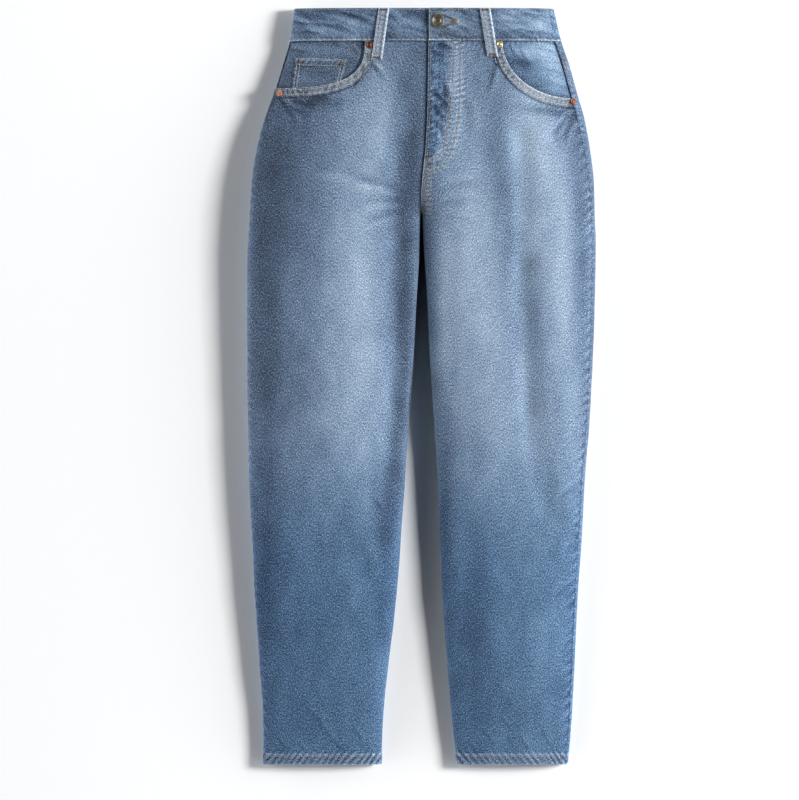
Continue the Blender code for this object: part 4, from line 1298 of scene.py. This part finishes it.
def makeShield():
    x, y = np.meshgrid(np.linspace(*shield["x"], shield["columns"] + 1),
                       np.linspace(*shield["y"], shield["rows"] + 1))
    points = np.zeros((*x.shape, 3))
    for side in ("right", "left"):
        base, normal = smoothSurface(side, "front", shareAt(side, "front", x, y), y, form["seamGap"])
        look, _ = frontLook(x, y)
        height = look - (form["denim"] + shield["drop"]) - foldDepth(x, y)
        own = (x < lapX(y)) == (side == "right")
        points[own] = (base + normal * height[..., None])[own]
    wash_and_shading = 0.28 + 0.05 * softNoise(x, y, 9.0, 14.0, 33)
    cloth = clothPlace("fly_shield", x, y)
    return makeSheet("fly_shield", points, cloth, {"wash_and_shading": wash_and_shading, "dust": 0.0}, False, form["denim"],
                     "facing")


facings = {side: makeFacing(side) for side in ("right", "left")}
coinPocket = makeCoinPocket()
flyShield = makeShield()
print("stage: facings, coin pocket and underlap")

# Waistband, lapped at the button, and the belt loops

band = {
    "rise": 0.6,
    "wall": 2.4,
    "leftX": 150.0,
    "rightX": -125.0,
    "endGap": 0.5,
    "underlapTop": -0.9,
    "underlapFromX": -12.0,
    "underlapReach": 30.0,
    "heights": (457.65, 458.0, 458.5, 459.2, 460.0, 461.0),
}

# Creases of the waistband: x0, y0, x1, y1, bow, width, depth, wear
bandCreases = (
    (-169.8, 482.7, -127.2, 478.9, -1.0, 1.7, 0.6, 0.17),
    (-127.2, 478.9, -84.7, 464.5, 3.0, 2.0, 0.7, 0.20),
    (-112.1, 494.9, -61.9, 481.1, 1.5, 1.9, 0.6, 0.17),
    (-160.0, 470.0, -134.0, 466.5, 0.8, 1.7, 0.4, 0.12),
    (-47.0, 496.0, -38.0, 487.0, 0.0, 1.5, 0.3, 0.12),
    (-38.0, 488.0, -30.0, 479.0, 0.0, 1.5, 0.3, 0.11),
    (-28.0, 497.0, -19.0, 488.0, 0.0, 1.5, 0.3, 0.12),
    (-20.0, 480.0, -11.0, 471.0, 0.5, 1.6, 0.4, 0.13),
    (-9.0, 496.0, 2.0, 486.0, 0.0, 1.6, 0.4, 0.12),
    (11.6, 498.3, 38.2, 497.5, 0.5, 1.6, 0.5, 0.14),
    (92.9, 483.5, 119.4, 480.3, 0.8, 1.8, 0.5, 0.14),
    (53.9, 496.0, 61.7, 488.0, 0.3, 1.5, 0.4, 0.12),
    (131.9, 494.3, 177.2, 483.5, 1.2, 2.0, 0.6, 0.15),
    (104.0, 470.0, 140.0, 474.0, -1.2, 1.9, 0.4, 0.12),
    (38.0, 478.0, 66.0, 471.0, 0.8, 1.8, 0.4, 0.11),
    (138.0, 470.0, 176.0, 464.5, 1.0, 1.9, 0.5, 0.13),
)

# Washed patches of the waistband, with painted shade beside the lap edge and along the buttonhole's slit: x,
# y, spreadX, spreadY, turn in degrees, gain
bandWashAndShade = (
    (36.0, 483.0, 9.0, 3.6, 0.0, 0.16),
    (38.0, 483.0, 8.0, 0.9, 0.0, -0.34),
    (22.0, 483.0, 15.0, 11.0, 0.0, 0.12),
    (44.0, 484.0, 10.0, 6.0, 0.0, 0.10),
    (-115.0, 490.0, 26.0, 6.0, -12.0, 0.10),
    (-90.0, 481.0, 16.0, 4.0, -12.0, 0.12),
    (-140.0, 473.0, 30.0, 5.0, 0.0, 0.06),
    (120.0, 474.0, 26.0, 7.0, -6.0, 0.10),
    (160.0, 478.0, 26.0, 7.0, -10.0, 0.14),
    (62.0, 478.0, 20.0, 8.0, 0.0, 0.06),
    (-20.0, 480.0, 26.0, 8.0, 0.0, 0.08),
    (66.0, 462.0, 30.0, 4.0, 0.0, -0.06),
    (-126.0, 493.0, 40.0, 9.0, 0.0, -0.16),
    (16.0, 494.0, 16.0, 6.0, 0.0, -0.14),
    (110.0, 490.0, 18.0, 10.0, 0.0, 0.20),
    (163.0, 488.0, 20.0, 12.0, 0.0, 0.20),
    (5.0, 478.0, 5.0, 22.0, 0.0, -0.14),
)


def bandLook(y, along):
    # height, and wear with painted shade and painted highlights, of the waistband, whose length along is
    # measured from its left end
    down = form["topY"] - y
    up = y - form["waistSeamY"]
    height = 0.25 * softNoise(along, y, 24.0, 15.0, 45) + 0.12 * softNoise(along, y, 9.0, 8.0, 46)
    wash_and_shading = 0.29 + 0.07 * softNoise(along, y, 24.0, 9.0, 48) + 0.07 * softNoise(along, y, 7.0, 5.0, 49)
    # sharp creases that run down towards the wearer's left
    streak = softNoise(along * 0.94 - y * 0.34, along * 0.34 + y * 0.94, 22.0, 3.0, 55)
    height += 0.2 * streak
    wash_and_shading += 0.14 * streak
    height -= 0.7 * (1 - ease(down / 1.4)) ** 1.5 + 0.45 * (1 - ease(up / 1.5)) ** 1.5
    # worn top edge and piped bottom edge, both lighter with painted highlights along them
    wash_and_shading += 0.12 * hump(down, 1.3) + 0.34 * hump(up - 0.7, 1.0)
    rows = ((up, 6.6, 8.0, 0.28, 0.22, 51), (down, 5.8, 5.0, 0.16, 0.14, 53))
    for line, pitch, reach, high, worn, seed in rows:
        ripple = rope(along, line, pitch, 0.5, seed)
        fade = hump(line, reach)
        height += high * ripple * fade * ease(line / 1.5)
        wash_and_shading += worn * ripple * fade * ease(line / 2.0)
    # grooves of the stitch rows, pressed in and darkened with painted shade
    groove = hump(up - 3.2, 0.9) + 0.7 * hump(down - 2.6, 0.9)
    height -= 0.22 * groove
    wash_and_shading -= 0.14 * groove
    return height, wash_and_shading


def bandFrontLook(x, y, along):
    height, wash_and_shading = bandLook(y, along)
    more, worn = creased(bandCreases, x, y)
    return height + more, wash_and_shading + worn + patches(bandWashAndShade, x, y)


def bandColumns(y):
    # sides, shares and plan x round the waist for the heights y, from the left end to the underlap's end
    lapTop = float(lapX(np.array(form["topY"])))
    runs = []
    leftX = np.linspace(lapTop, band["leftX"], 62)
    runs.append(("left", "front", shareAt("left", "front", leftX, y), leftX))
    atLeft = shareAt("left", "front", np.array([[band["leftX"]]]), y)
    runs.append(("left", "front", atLeft * (1 - np.linspace(0.0, 1.0, 24)[1:]), None))
    back = crowded(90, 0.12)
    runs.append(("left", "back", np.broadcast_to(back[1:], (len(y), 90)), None))
    runs.append(("right", "back", np.broadcast_to(back[-2:0:-1], (len(y), 89)), None))
    atRight = shareAt("right", "front", np.array([[band["rightX"]]]), y)
    runs.append(("right", "front", atRight * np.linspace(0.0, 1.0, 22)[:-1], None))
    rightX = np.linspace(band["rightX"], lapTop - band["endGap"], 62)
    runs.append(("right", "front", shareAt("right", "front", rightX, y), rightX))
    underX = lapTop + np.linspace(3.0, band["underlapReach"], 11)
    runs.append(("underlap", "front", shareAt("left", "front", underX, y), underX))
    return runs


def makeWaistband():
    low, high = band["heights"][-1], form["topY"]
    heights = [*band["heights"], *np.linspace(low, high - 3.0, 22)[1:]]
    heights += [high - 2.2, high - 1.5, high - 0.9, high - 0.4, high]
    y = np.array(heights)[:, None]
    lapTop = float(lapX(np.array(form["topY"])))
    strips, looks = [], []
    for name, face, share, x in bandColumns(y):
        side = "left" if name == "underlap" else name
        base, normal = smoothSurface(side, face, share, y, 0.0)
        out = np.full(share.shape, band["rise"])
        if name == "underlap":
            out = band["underlapTop"] + out * 0.0
        elif face == "front":
            out = out + lapRise(side, base[..., 0], y)
        if name == "right" and x is not None:
            dip = ease((x - band["underlapFromX"]) / (lapTop - band["endGap"] - band["underlapFromX"]))
            out = out + (band["underlapTop"] - band["rise"]) * dip
        if face == "front":
            out = out - foldDepth(base[..., 0], y)
        strips.append((base, normal, np.broadcast_to(out, share.shape)))
        looks.append(name != "underlap" and face == "front")
    base = np.concatenate([s[0] for s in strips], axis=1)
    normal = np.concatenate([s[1] for s in strips], axis=1)
    out = np.concatenate([s[2] for s in strips], axis=1)
    shown = np.concatenate([np.full(s[2].shape, float(seen)) for s, seen in zip(strips, looks)], axis=1)
    steps = np.linalg.norm(np.diff(base, axis=1), axis=-1).mean(axis=0)
    along = np.broadcast_to(np.concatenate([[0.0], np.cumsum(steps)]), out.shape)
    ys = np.broadcast_to(y, out.shape)
    frontHigh, frontWorn = bandFrontLook(base[..., 0], ys, along)
    backHigh, backWorn = bandLook(ys, along)
    high = np.where(shown > 0, frontHigh, backHigh)
    wash_and_shading = np.where(shown > 0, frontWorn, backWorn)
    # the band's end at the lap rounds down, worn and lighter with a painted highlight along it
    high = high - 0.5 * (1 - ease(along / 1.3)) ** 1.5
    wash_and_shading = wash_and_shading + 0.35 * hump(along, 1.3)
    points = base + normal * (out + high)[..., None]
    flat = (normal[..., 2] < -0.5)
    points[..., 2] = np.where(flat, np.maximum(points[..., 2], base[..., 2] - band["rise"]), points[..., 2])
    cloth = clothPlace("waistband", ys, along)
    dust = 0.3 + 0.15 * hump(along, 60.0) * shown
    return makeSheet("waistband", points, cloth, {"wash_and_shading": wash_and_shading, "dust": dust}, False, band["wall"], "trim")


waistband = makeWaistband()

loops = (
    ("front_right", "right", "front", -49.6, -59.2, 432.0),
    ("front_left", "left", "front", 83.8, 94.0, 436.0),
    ("back_right", "right", "back", -98.0, -102.0, 433.0),
    ("back_left", "left", "back", 101.0, 105.0, 433.0),
    ("back_centre", "centre", "back", 0.0, 0.0, 433.0),
)
loop = {
    "width": 14.0,
    "wall": 1.6,
    "shell": 1.5,  # wall of the shell, a little thinner than the solid's
    "arch": 0.8,
    "topY": 500.4,
    "rows": 52,
    "columns": 18,
    "dust": 0.75,
}


def makeLoop(name, side, face, topX, footX, footY):
    edge = np.linspace(0.0, 1.0, loop["columns"] - 1)
    across = np.sort(np.concatenate([edge, [0.03, 0.97]])) - 0.5
    up = np.sort(np.concatenate([np.linspace(0.0, 1.0, loop["rows"] - 1), [0.006, 0.994]]))
    across, up = np.meshgrid(across, up)
    y = footY + (loop["topY"] - footY) * up
    x = footX + (topX - footX) * up + across * loop["width"]
    arch = loop["arch"] * np.sin(math.pi * up)
    fromEdge = (0.5 - np.abs(across)) * loop["width"]
    fromEnd = np.minimum(up, 1 - up) * (loop["topY"] - footY)
    ripple = rope(y, across * 6.0, 6.4, 0.6, 57)
    height = 0.28 * hump(fromEdge - 2.6, 1.6) - 0.2 * hump(across, 0.09)
    height += (0.14 * ripple - 0.55 * (1 - ease(fromEdge / 1.1)) ** 1.5
               - 0.4 * (1 - ease(fromEnd / 1.0)) ** 1.5)
    # worn edges, lighter with painted highlights along them
    wash_and_shading = 0.40 + 0.12 * ripple + 0.32 * hump(fromEdge, 1.3) + 0.08 * hump(across, 0.1)
    wash_and_shading -= 0.14 * hump(fromEdge - 3.2, 0.9) - 0.06 * softNoise(x, y, 6.0, 9.0, 59)
    points = np.zeros((*x.shape, 3))
    for lies in ("right", "left"):
        own = (x < 0) == (lies == "right") if side == "centre" else np.full(x.shape, lies == side)
        if not own.any():
            continue
        base, normal = smoothSurface(lies, face, shareAt(lies, face, x, y), y, 0.0)
        if face == "front":
            high = max(band["rise"], form["mouthRise"]) + form["seamGap"] + arch + loop["wall"]
            high = high + lapRise(lies, x, y) - foldDepth(x, y)
            place = base + normal * (high + height)[..., None]
        else:
            lift = readCurve(lifts, 1, y)
            place = base + normal * (lift + np.minimum(height, 0.0))[..., None]
            place[..., 2] = np.maximum(place[..., 2], 0.0)
        points[own] = place[own]
    cloth = np.stack([x + 6600.0 + topX * 9, y], axis=-1)
    return makeSheet(f"belt_loop_{name}", points, cloth, {"wash_and_shading": wash_and_shading, "dust": loop["dust"]},
                     face == "back", loop["shell"], "trim")


beltLoops = {row[0]: makeLoop(*row) for row in loops}
print("stage: waistband and loops")

# Back pockets

backPocket = {
    "top": ((34.0, 360.0), (176.0, 372.0)),
    "foot": ((46.0, 242.0), (106.0, 220.0), (166.0, 248.0)),
    "columns": 56,
    "rows": 52,
    "hem": 24.0,
}


def pocketPlace(across, up):
    (inX, inY), (outX, outY) = backPocket["top"]
    foot = np.array(backPocket["foot"])
    footX = np.interp(across, (0.0, 0.5, 1.0), foot[:, 0])
    footY = np.interp(across, (0.0, 0.5, 1.0), foot[:, 1])
    return (footX + (inX + (outX - inX) * across - footX) * up,
            footY + (inY + (outY - inY) * across - footY) * up)


def makeBackPocket(side):
    sign = -1.0 if side == "right" else 1.0
    across = np.sort(np.concatenate([np.linspace(0.0, 1.0, backPocket["columns"] - 1), [0.008, 0.992]]))
    up = np.sort(np.concatenate([np.linspace(0.0, 1.0, backPocket["rows"] - 1), [0.008, 0.992]]))
    across, up = np.meshgrid(across, up)
    x, y = pocketPlace(across, up)
    fromEdge = np.minimum(np.minimum(across, 1 - across) * 130.0, up * 118.0)
    fromTop = (1 - up) * 125.0
    ripple = rope(y + x, fromEdge, 7.0, 0.4, 101)
    height = 0.25 * softNoise(x, y, 30.0, 30.0, 105) - 0.25
    height -= 0.5 * (1 - ease(np.minimum(fromEdge, fromTop) / 1.0)) ** 1.5
    height -= 0.25 * hump(fromTop - backPocket["hem"], 1.2) - 0.16 * ripple * hump(fromEdge, 7.0)
    wash_and_shading = 0.50 + 0.13 * ripple * hump(fromEdge, 7.0) + 0.20 * hump(fromEdge, 1.5)
    wash_and_shading += 0.16 * hump(fromTop, 1.6) + 0.05 * softNoise(x, y, 24.0, 30.0, 106)
    wash_and_shading -= 0.08 * hump(fromTop - backPocket["hem"], 1.6)
    share = shareAt(side, "back", sign * x, y)
    base, normal = smoothSurface(side, "back", share, y, form["seamGap"])
    lift = readCurve(lifts, 1, y)
    points = base + normal * (lift + height)[..., None]
    points[..., 2] = np.maximum(points[..., 2], 0.0)
    cloth = clothPlace(f"back_pocket_{side}", x, y)
    return makeSheet(f"back_pocket_{side}", points, cloth, {"wash_and_shading": wash_and_shading, "dust": 0.0},
                     side == "left", form["denim"], "denim")


backPockets = {side: makeBackPocket(side) for side in ("right", "left")}
print("stage: back pockets")

# Button and rivets, turned from a flat ring of edges

metal = {
    "buttonPlace": (21.8, 483.4),
    "rivetPlaces": {
        "right_waist": (-69.1, 451.6),
        "right_side": (-187.5, 388.0),
        "left_waist": (103.4, 452.4),
        "left_side": (200.0, 377.0),
    },
    "sides": 72,
}

# rings from the foot outwards and up to the middle: a radius and a height at each turn of the profile
buttonRings = (
    (3.2, 0.0), (3.4, 0.9), (7.4, 1.2), (7.95, 1.7), (8.1, 2.2), (7.9, 2.7), (7.5, 2.95), (7.0, 3.02),
    (6.6, 2.9), (6.3, 2.6), (6.0, 2.5), (5.6, 2.52), (5.3, 2.75), (5.0, 2.84), (4.6, 2.78), (4.3, 2.5),
    (4.0, 2.34), (3.7, 2.4), (3.4, 2.72), (3.1, 2.86), (2.4, 2.9), (1.5, 2.94), (0.6, 2.96))
rivetRings = (
    (3.95, 0.0), (4.1, 0.4), (4.05, 0.9), (3.8, 1.25), (3.4, 1.45), (3.0, 1.42), (2.7, 1.15),
    (2.45, 0.92), (2.2, 0.86), (1.95, 0.92), (1.7, 1.15), (1.4, 1.3), (0.9, 1.36), (0.4, 1.38))


def makeTurned(node, rings, side, xy, rise, finish):
    bpy.ops.object.select_all(action="DESELECT")
    radius, height = rings[0]
    bpy.ops.mesh.primitive_circle_add(vertices=metal["sides"], radius=radius * mm, fill_type="NGON")
    piece = bpy.context.active_object
    piece.name = f"{finish}_{node}"
    bpy.ops.object.mode_set(mode="EDIT")
    bpy.ops.mesh.select_all(action="SELECT")
    for wider, higher in rings[1:]:
        bpy.ops.mesh.extrude_region_move(TRANSFORM_OT_translate={"value": (0.0, 0.0, (higher - height) * mm)})
        bpy.ops.transform.resize(value=(wider / radius, wider / radius, 1.0), center_override=(0.0, 0.0, 0.0))
        radius, height = wider, higher
    bpy.ops.mesh.select_all(action="SELECT")
    bpy.ops.mesh.normals_make_consistent(inside=False)
    bpy.ops.object.mode_set(mode="OBJECT")
    bpy.ops.object.shade_smooth_by_angle(angle=math.radians(60.0))
    x, y = np.array([xy[0]]), np.array([xy[1]])
    base, normal = smoothSurface(side, "front", shareAt(side, "front", x, y), y, 0.0)
    foot = base + normal * (rise + form["seamGap"] + lapRise(side, x, y) - foldDepth(x, y))[..., None]
    turn = Vector(normal[0]).to_track_quat("Z", "Y").to_matrix().to_4x4()
    piece.data.transform(Matrix.Translation(Vector(foot[0]) * mm) @ turn)
    piece.data.materials.append(finishes[finish])
    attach(piece, "root")
    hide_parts(node)
    return piece


makeTurned("button", buttonRings, "left", metal["buttonPlace"], band["rise"], "pewter")
for name, place in metal["rivetPlaces"].items():
    finish = {"left_waist": "brass", "right_side": "copper"}.get(name, "darkCopper")
    lies = "right" if "right" in name else "left"
    makeTurned(f"rivet_{name}", rivetRings, lies, place, form["mouthRise"], finish)
print("stage: button and rivets")

# Stitches

sewing = {
    "radius": 0.34,
    "length": 2.5,
    "pitch": 3.35,
    "above": 0.26,  # how far a stitch's middle stands off the cloth
    "below": 0.22,  # how far its ends go in
}


def insetFrom(made, edge, inset):
    # line on a sheet, some way in from one of its edges, with the normals there
    points, normals = made["points"], made["normals"]
    if edge in ("top", "bottom"):
        points, normals = points.transpose(1, 0, 2), normals.transpose(1, 0, 2)
    if edge in ("top", "right"):
        points, normals = points[:, ::-1], normals[:, ::-1]
    line = []
    for run, away in zip(points, normals):
        reach = np.concatenate(([0.0], np.cumsum(np.linalg.norm(np.diff(run, axis=0), axis=1))))
        line.append([np.interp(inset, reach, values) for values in (*run.T, *away.T)])
    line = np.array(line)
    return line[:, :3], line[:, 3:]


def trimmed(line, start, stop):
    # part of a line, without so much of its start and of its end
    points, normals = line
    reach = np.concatenate(([0.0], np.cumsum(np.linalg.norm(np.diff(points, axis=0), axis=1))))
    keep = (reach >= start) & (reach <= reach[-1] - stop)
    return points[keep], normals[keep]


def onFront(side, path):
    points, normal = frontSurface(side, path[:, 0], path[:, 1])
    return points, normal


def lengthsAlong(points):
    steps = np.linalg.norm(np.diff(points, axis=0), axis=1)
    return np.concatenate(([0.0], np.cumsum(steps)))


def readAlong(at, reach, values):
    return np.stack([np.interp(at, reach, values[:, k]) for k in range(3)], axis=1)


def threadPiece(name, mesh, thread):
    mesh.shade_smooth()
    piece = bpy.data.objects.new(name, mesh)
    bpy.context.scene.collection.objects.link(piece)
    mesh.materials.append(finishes[thread])
    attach(piece, "root")


def makeStitches(name, lines, thread, pitch=None, radius=None, length=None):
    # short bowed threads end to end along the lines, all in one mesh
    pitch = pitch or sewing["pitch"]
    radius = radius or sewing["radius"]
    length = length or sewing["length"] * pitch / sewing["pitch"]
    corners = []
    for number, (points, normals) in enumerate(lines):
        reach = lengthsAlong(points)
        count = int(reach[-1] / pitch)
        if count < 1:
            continue
        drift = np.random.default_rng(300 + number).uniform(-0.16, 0.16, count)
        middles = (np.arange(count) + 0.5 + drift) * pitch
        for share, lift in ((-0.5, -sewing["below"]), (-0.2, sewing["above"]), (0.2, sewing["above"]),
                            (0.5, -sewing["below"])):
            at = middles + share * length
            place = readAlong(at, reach, points)
            away = readAlong(at, reach, normals)
            ahead = readAlong(at + 0.5, reach, points)
            behind = readAlong(at - 0.5, reach, points)
            run = (ahead - behind) / np.maximum(np.linalg.norm(ahead - behind, axis=1, keepdims=True), 1e-9)
            across = np.cross(run, away)
            across /= np.maximum(np.linalg.norm(across, axis=1, keepdims=True), 1e-9)
            middle = place + away * lift
            middle[:, 2] = np.maximum(middle[:, 2], radius)  # pressed into the cloth on the floor
            corners.append(np.stack([middle + across * radius, middle + away * radius,
                                     middle - across * radius, middle - away * radius], axis=1))
    rings = [np.concatenate(corners[k::4]) for k in range(4)]
    total = len(rings[0])
    verts = np.stack(rings, axis=1).reshape(-1, 3)
    first = (np.arange(total) * 16)[:, None, None]
    faces = []
    for ring in range(3):
        for k in range(4):
            a, b = ring * 4 + k, ring * 4 + (k + 1) % 4
            faces.append((a, a + 4, b + 4, b))
    faces += [(0, 1, 2, 3), (15, 14, 13, 12)]
    faces = (first + np.array(faces)[None]).reshape(-1, 4)
    mesh = bpy.data.meshes.new(name)
    mesh.from_pydata((verts * mm).tolist(), [], faces.tolist())
    threadPiece(name, mesh, thread)
    print(f"   {name}: {total} stitches")


def frontLines(*sides):
    # rows beside the pocket mouths, and round the hems
    return [onFront(side, mouthLine(side, inset)[2:-2]) for side in sides for inset in (2.6, 8.8)]


makeStitches("thread_mouths", frontLines("right", "left"), "paleThread")
makeStitches("thread_fly", [onFront("left", lapLine(456.0, 240.0, 3.2)), *[onFront("left", row) for row in
                            flyRows.values()], onFront("left", stripRow)], "tanThread")
makeStitches("thread_hems", [trimmed(insetFrom(panels[side], "bottom", 11.6), 3.0, 3.0)
                             for panels in (fronts, backs) for side in ("right", "left")], "goldThread")
makeStitches("thread_waistband", [insetFrom(waistband, "bottom", 3.0), insetFrom(waistband, "top", 2.6),
                                  trimmed(insetFrom(waistband, "left", 3.0), 4.0, 4.0)], "tanThread")
makeStitches("thread_coin_pocket", [insetFrom(coinPocket, "left", 2.4), insetFrom(coinPocket, "left", 6.4),
                                    insetFrom(coinPocket, "right", 2.4), insetFrom(coinPocket, "right", 6.4),
                                    trimmed(insetFrom(coinPocket, "top", 2.6), 3.0, 3.0),
                                    trimmed(insetFrom(coinPocket, "top", 9.4), 3.0, 3.0)], "paleThread")
makeStitches("thread_yokes", [insetFrom(yokes[side], "bottom", inset) for side in ("right", "left")
                              for inset in (2.0, 7.0)], "goldThread")
makeStitches("thread_centre_back", [trimmed(insetFrom(backs["right"], "right", inset), 740.0, 3.0)
                                    for inset in (2.0, 7.0)], "goldThread")
makeStitches("thread_back_pockets", [insetFrom(backPockets[side], edge, inset) for side in ("right", "left")
                                     for edge in ("left", "right", "bottom") for inset in (2.0, 7.0)]
             + [trimmed(insetFrom(backPockets[side], "top", 20.0), 8.0, 8.0) for side in ("right", "left")],
             "goldThread")
loopEdges = [(made, edge) for made in beltLoops.values() for edge in ("left", "right")]
makeStitches("thread_belt_loops", [trimmed(insetFrom(made, edge, 2.6), 2.0, 2.0) for made, edge in loopEdges],
             "paleThread")
print("stage: stitches")

# Bartacks: tight zigzags of thread

# side, x, y, run in degrees from +X, length
bartacks = (
    ("left", 9.9, 303.7, 0.0, 10.6),
    ("right", -161.6, 429.1, 0.0, 6.5),
    ("right", -105.6, 427.5, 0.0, 6.5),
)
tack = {"width": 2.2, "step": 0.62, "radius": 0.3}


def zigzag(points, normals, width):
    # stitches across a line rather than along it
    run = np.gradient(points, axis=0)
    run /= np.linalg.norm(run, axis=1, keepdims=True)
    across = np.cross(run, normals)
    sign = np.where(np.arange(len(points)) % 2, 0.5, -0.5)[:, None]
    return points + across * width * sign, normals


def tackLine(surface, x, y, turn, length):
    steps = np.arange(-length / 2, length / 2 + 0.01, tack["step"])
    c, s = math.cos(math.radians(turn)), math.sin(math.radians(turn))
    points, normals = surface(x + steps * c, y + steps * s)
    return zigzag(points + normals * 0.22, normals, tack["width"])


def makeTube(name, lines, radius, thread):
    # one round thread along each line
    verts, faces = [], []
    for points, normals in lines:
        points = np.concatenate([points[:, :2], np.maximum(points[:, 2:], radius)], axis=1)
        run = np.gradient(points, axis=0)
        run /= np.maximum(np.linalg.norm(run, axis=1, keepdims=True), 1e-9)
        across = np.cross(run, normals)
        across /= np.maximum(np.linalg.norm(across, axis=1, keepdims=True), 1e-9)
        up = np.cross(across, run)
        start = len(verts)
        for place, sideways, away in zip(points, across, up):
            for k in range(6):
                turn = math.pi * k / 3
                verts.append(place + radius * (math.cos(turn) * sideways + math.sin(turn) * away))
        for i in range(len(points) - 1):
            for k in range(6):
                a, b = start + 6 * i + k, start + 6 * i + (k + 1) % 6
                faces.append((a, a + 6, b + 6, b))
        faces.append(tuple(start + k for k in range(6)))
        faces.append(tuple(start + 6 * (len(points) - 1) + k for k in reversed(range(6))))
    mesh = bpy.data.meshes.new(name)
    mesh.from_pydata([tuple(v * mm) for v in verts], [], faces)
    threadPiece(name, mesh, thread)


def coinSurface(x, y):
    rise = -(form["denim"] + facing["drop"]) + form["seamGap"] + coin["wall"] + 0.35
    points, normals, _ = underSurface("right", x, y, rise)
    return points, normals


def loopTack(made, edge, inset):
    points, normals = trimmed(insetFrom(made, edge, inset), 1.2, 1.2)
    reach = lengthsAlong(points)
    at = np.arange(0.0, reach[-1], tack["step"])
    points = readAlong(at, reach, points)
    normals = readAlong(at, reach, normals)
    return zigzag(points + normals * 0.2, normals, tack["width"])


tackLines = []
for side, x, y, turn, length in bartacks:
    surface = coinSurface if side == "right" else (lambda px, py: frontSurface("left", px, py))
    tackLines.append(tackLine(surface, x, y, turn, length))
tackLines += [loopTack(made, edge, 2.4) for made in beltLoops.values() for edge in ("top", "bottom")]
makeTube("thread_bartacks", tackLines, tack["radius"], "goldThread")
print("stage: bartacks")

# Buttonhole: a teardrop edged with thread, under and beside the button

buttonhole = {
    "eye": (22.6, 483.4),  # under the button
    "end": (46.5, 482.3),
    "eyeRadius": 9.6,
    "slit": 1.7,
    "bar": 4.5,
    "width": 2.4,
    "step": 0.55,
    "thread": 0.42,
}


def bandSurface(x, y):
    base, normal = smoothSurface("left", "front", shareAt("left", "front", x, y), y, 0.0)
    along = x - float(lapX(np.array(form["topY"])))
    look, _ = bandFrontLook(x, y, along)
    height = band["rise"] + look + lapRise("left", x, y) - foldDepth(x, y)
    return base + normal * height[..., None], normal


def holeOutline():
    # a teardrop: round the eye behind the button, then straight along both lips to the far end
    (eyeX, eyeY), (endX, endY) = buttonhole["eye"], buttonhole["end"]
    radius, slit = buttonhole["eyeRadius"], buttonhole["slit"]
    lean = math.acos((radius - slit) / math.dist((eyeX, eyeY), (endX, endY)))
    turns = np.linspace(lean, 2 * math.pi - lean, 48)
    eye = np.stack([eyeX + radius * np.cos(turns), eyeY + radius * np.sin(turns)], axis=1)
    cap = np.linspace(-lean, lean, 12)
    far = np.stack([endX + slit * np.cos(cap), endY + slit * np.sin(cap)], axis=1)
    return np.vstack([eye, far, eye[:1]])


def makeButtonhole():
    outline = smoothPath(holeOutline(), buttonhole["step"])
    points, normals = bandSurface(outline[:, 0], outline[:, 1])
    edging = zigzag(points + normals * 0.2, normals, buttonhole["width"])
    makeTube("thread_buttonhole", [edging], buttonhole["thread"], "paleThread")
    endX, endY = buttonhole["end"]
    bars = [tackLine(bandSurface, endX - 1.0, endY, 90.0, buttonhole["bar"])]
    bars.append(tackLine(bandSurface, endX - 4.5, endY, 0.0, buttonhole["bar"] + 1.5))
    makeTube("thread_buttonhole_bar", bars, buttonhole["thread"], "goldThread")


makeButtonhole()
print("stage: buttonhole")

print("stage: done")
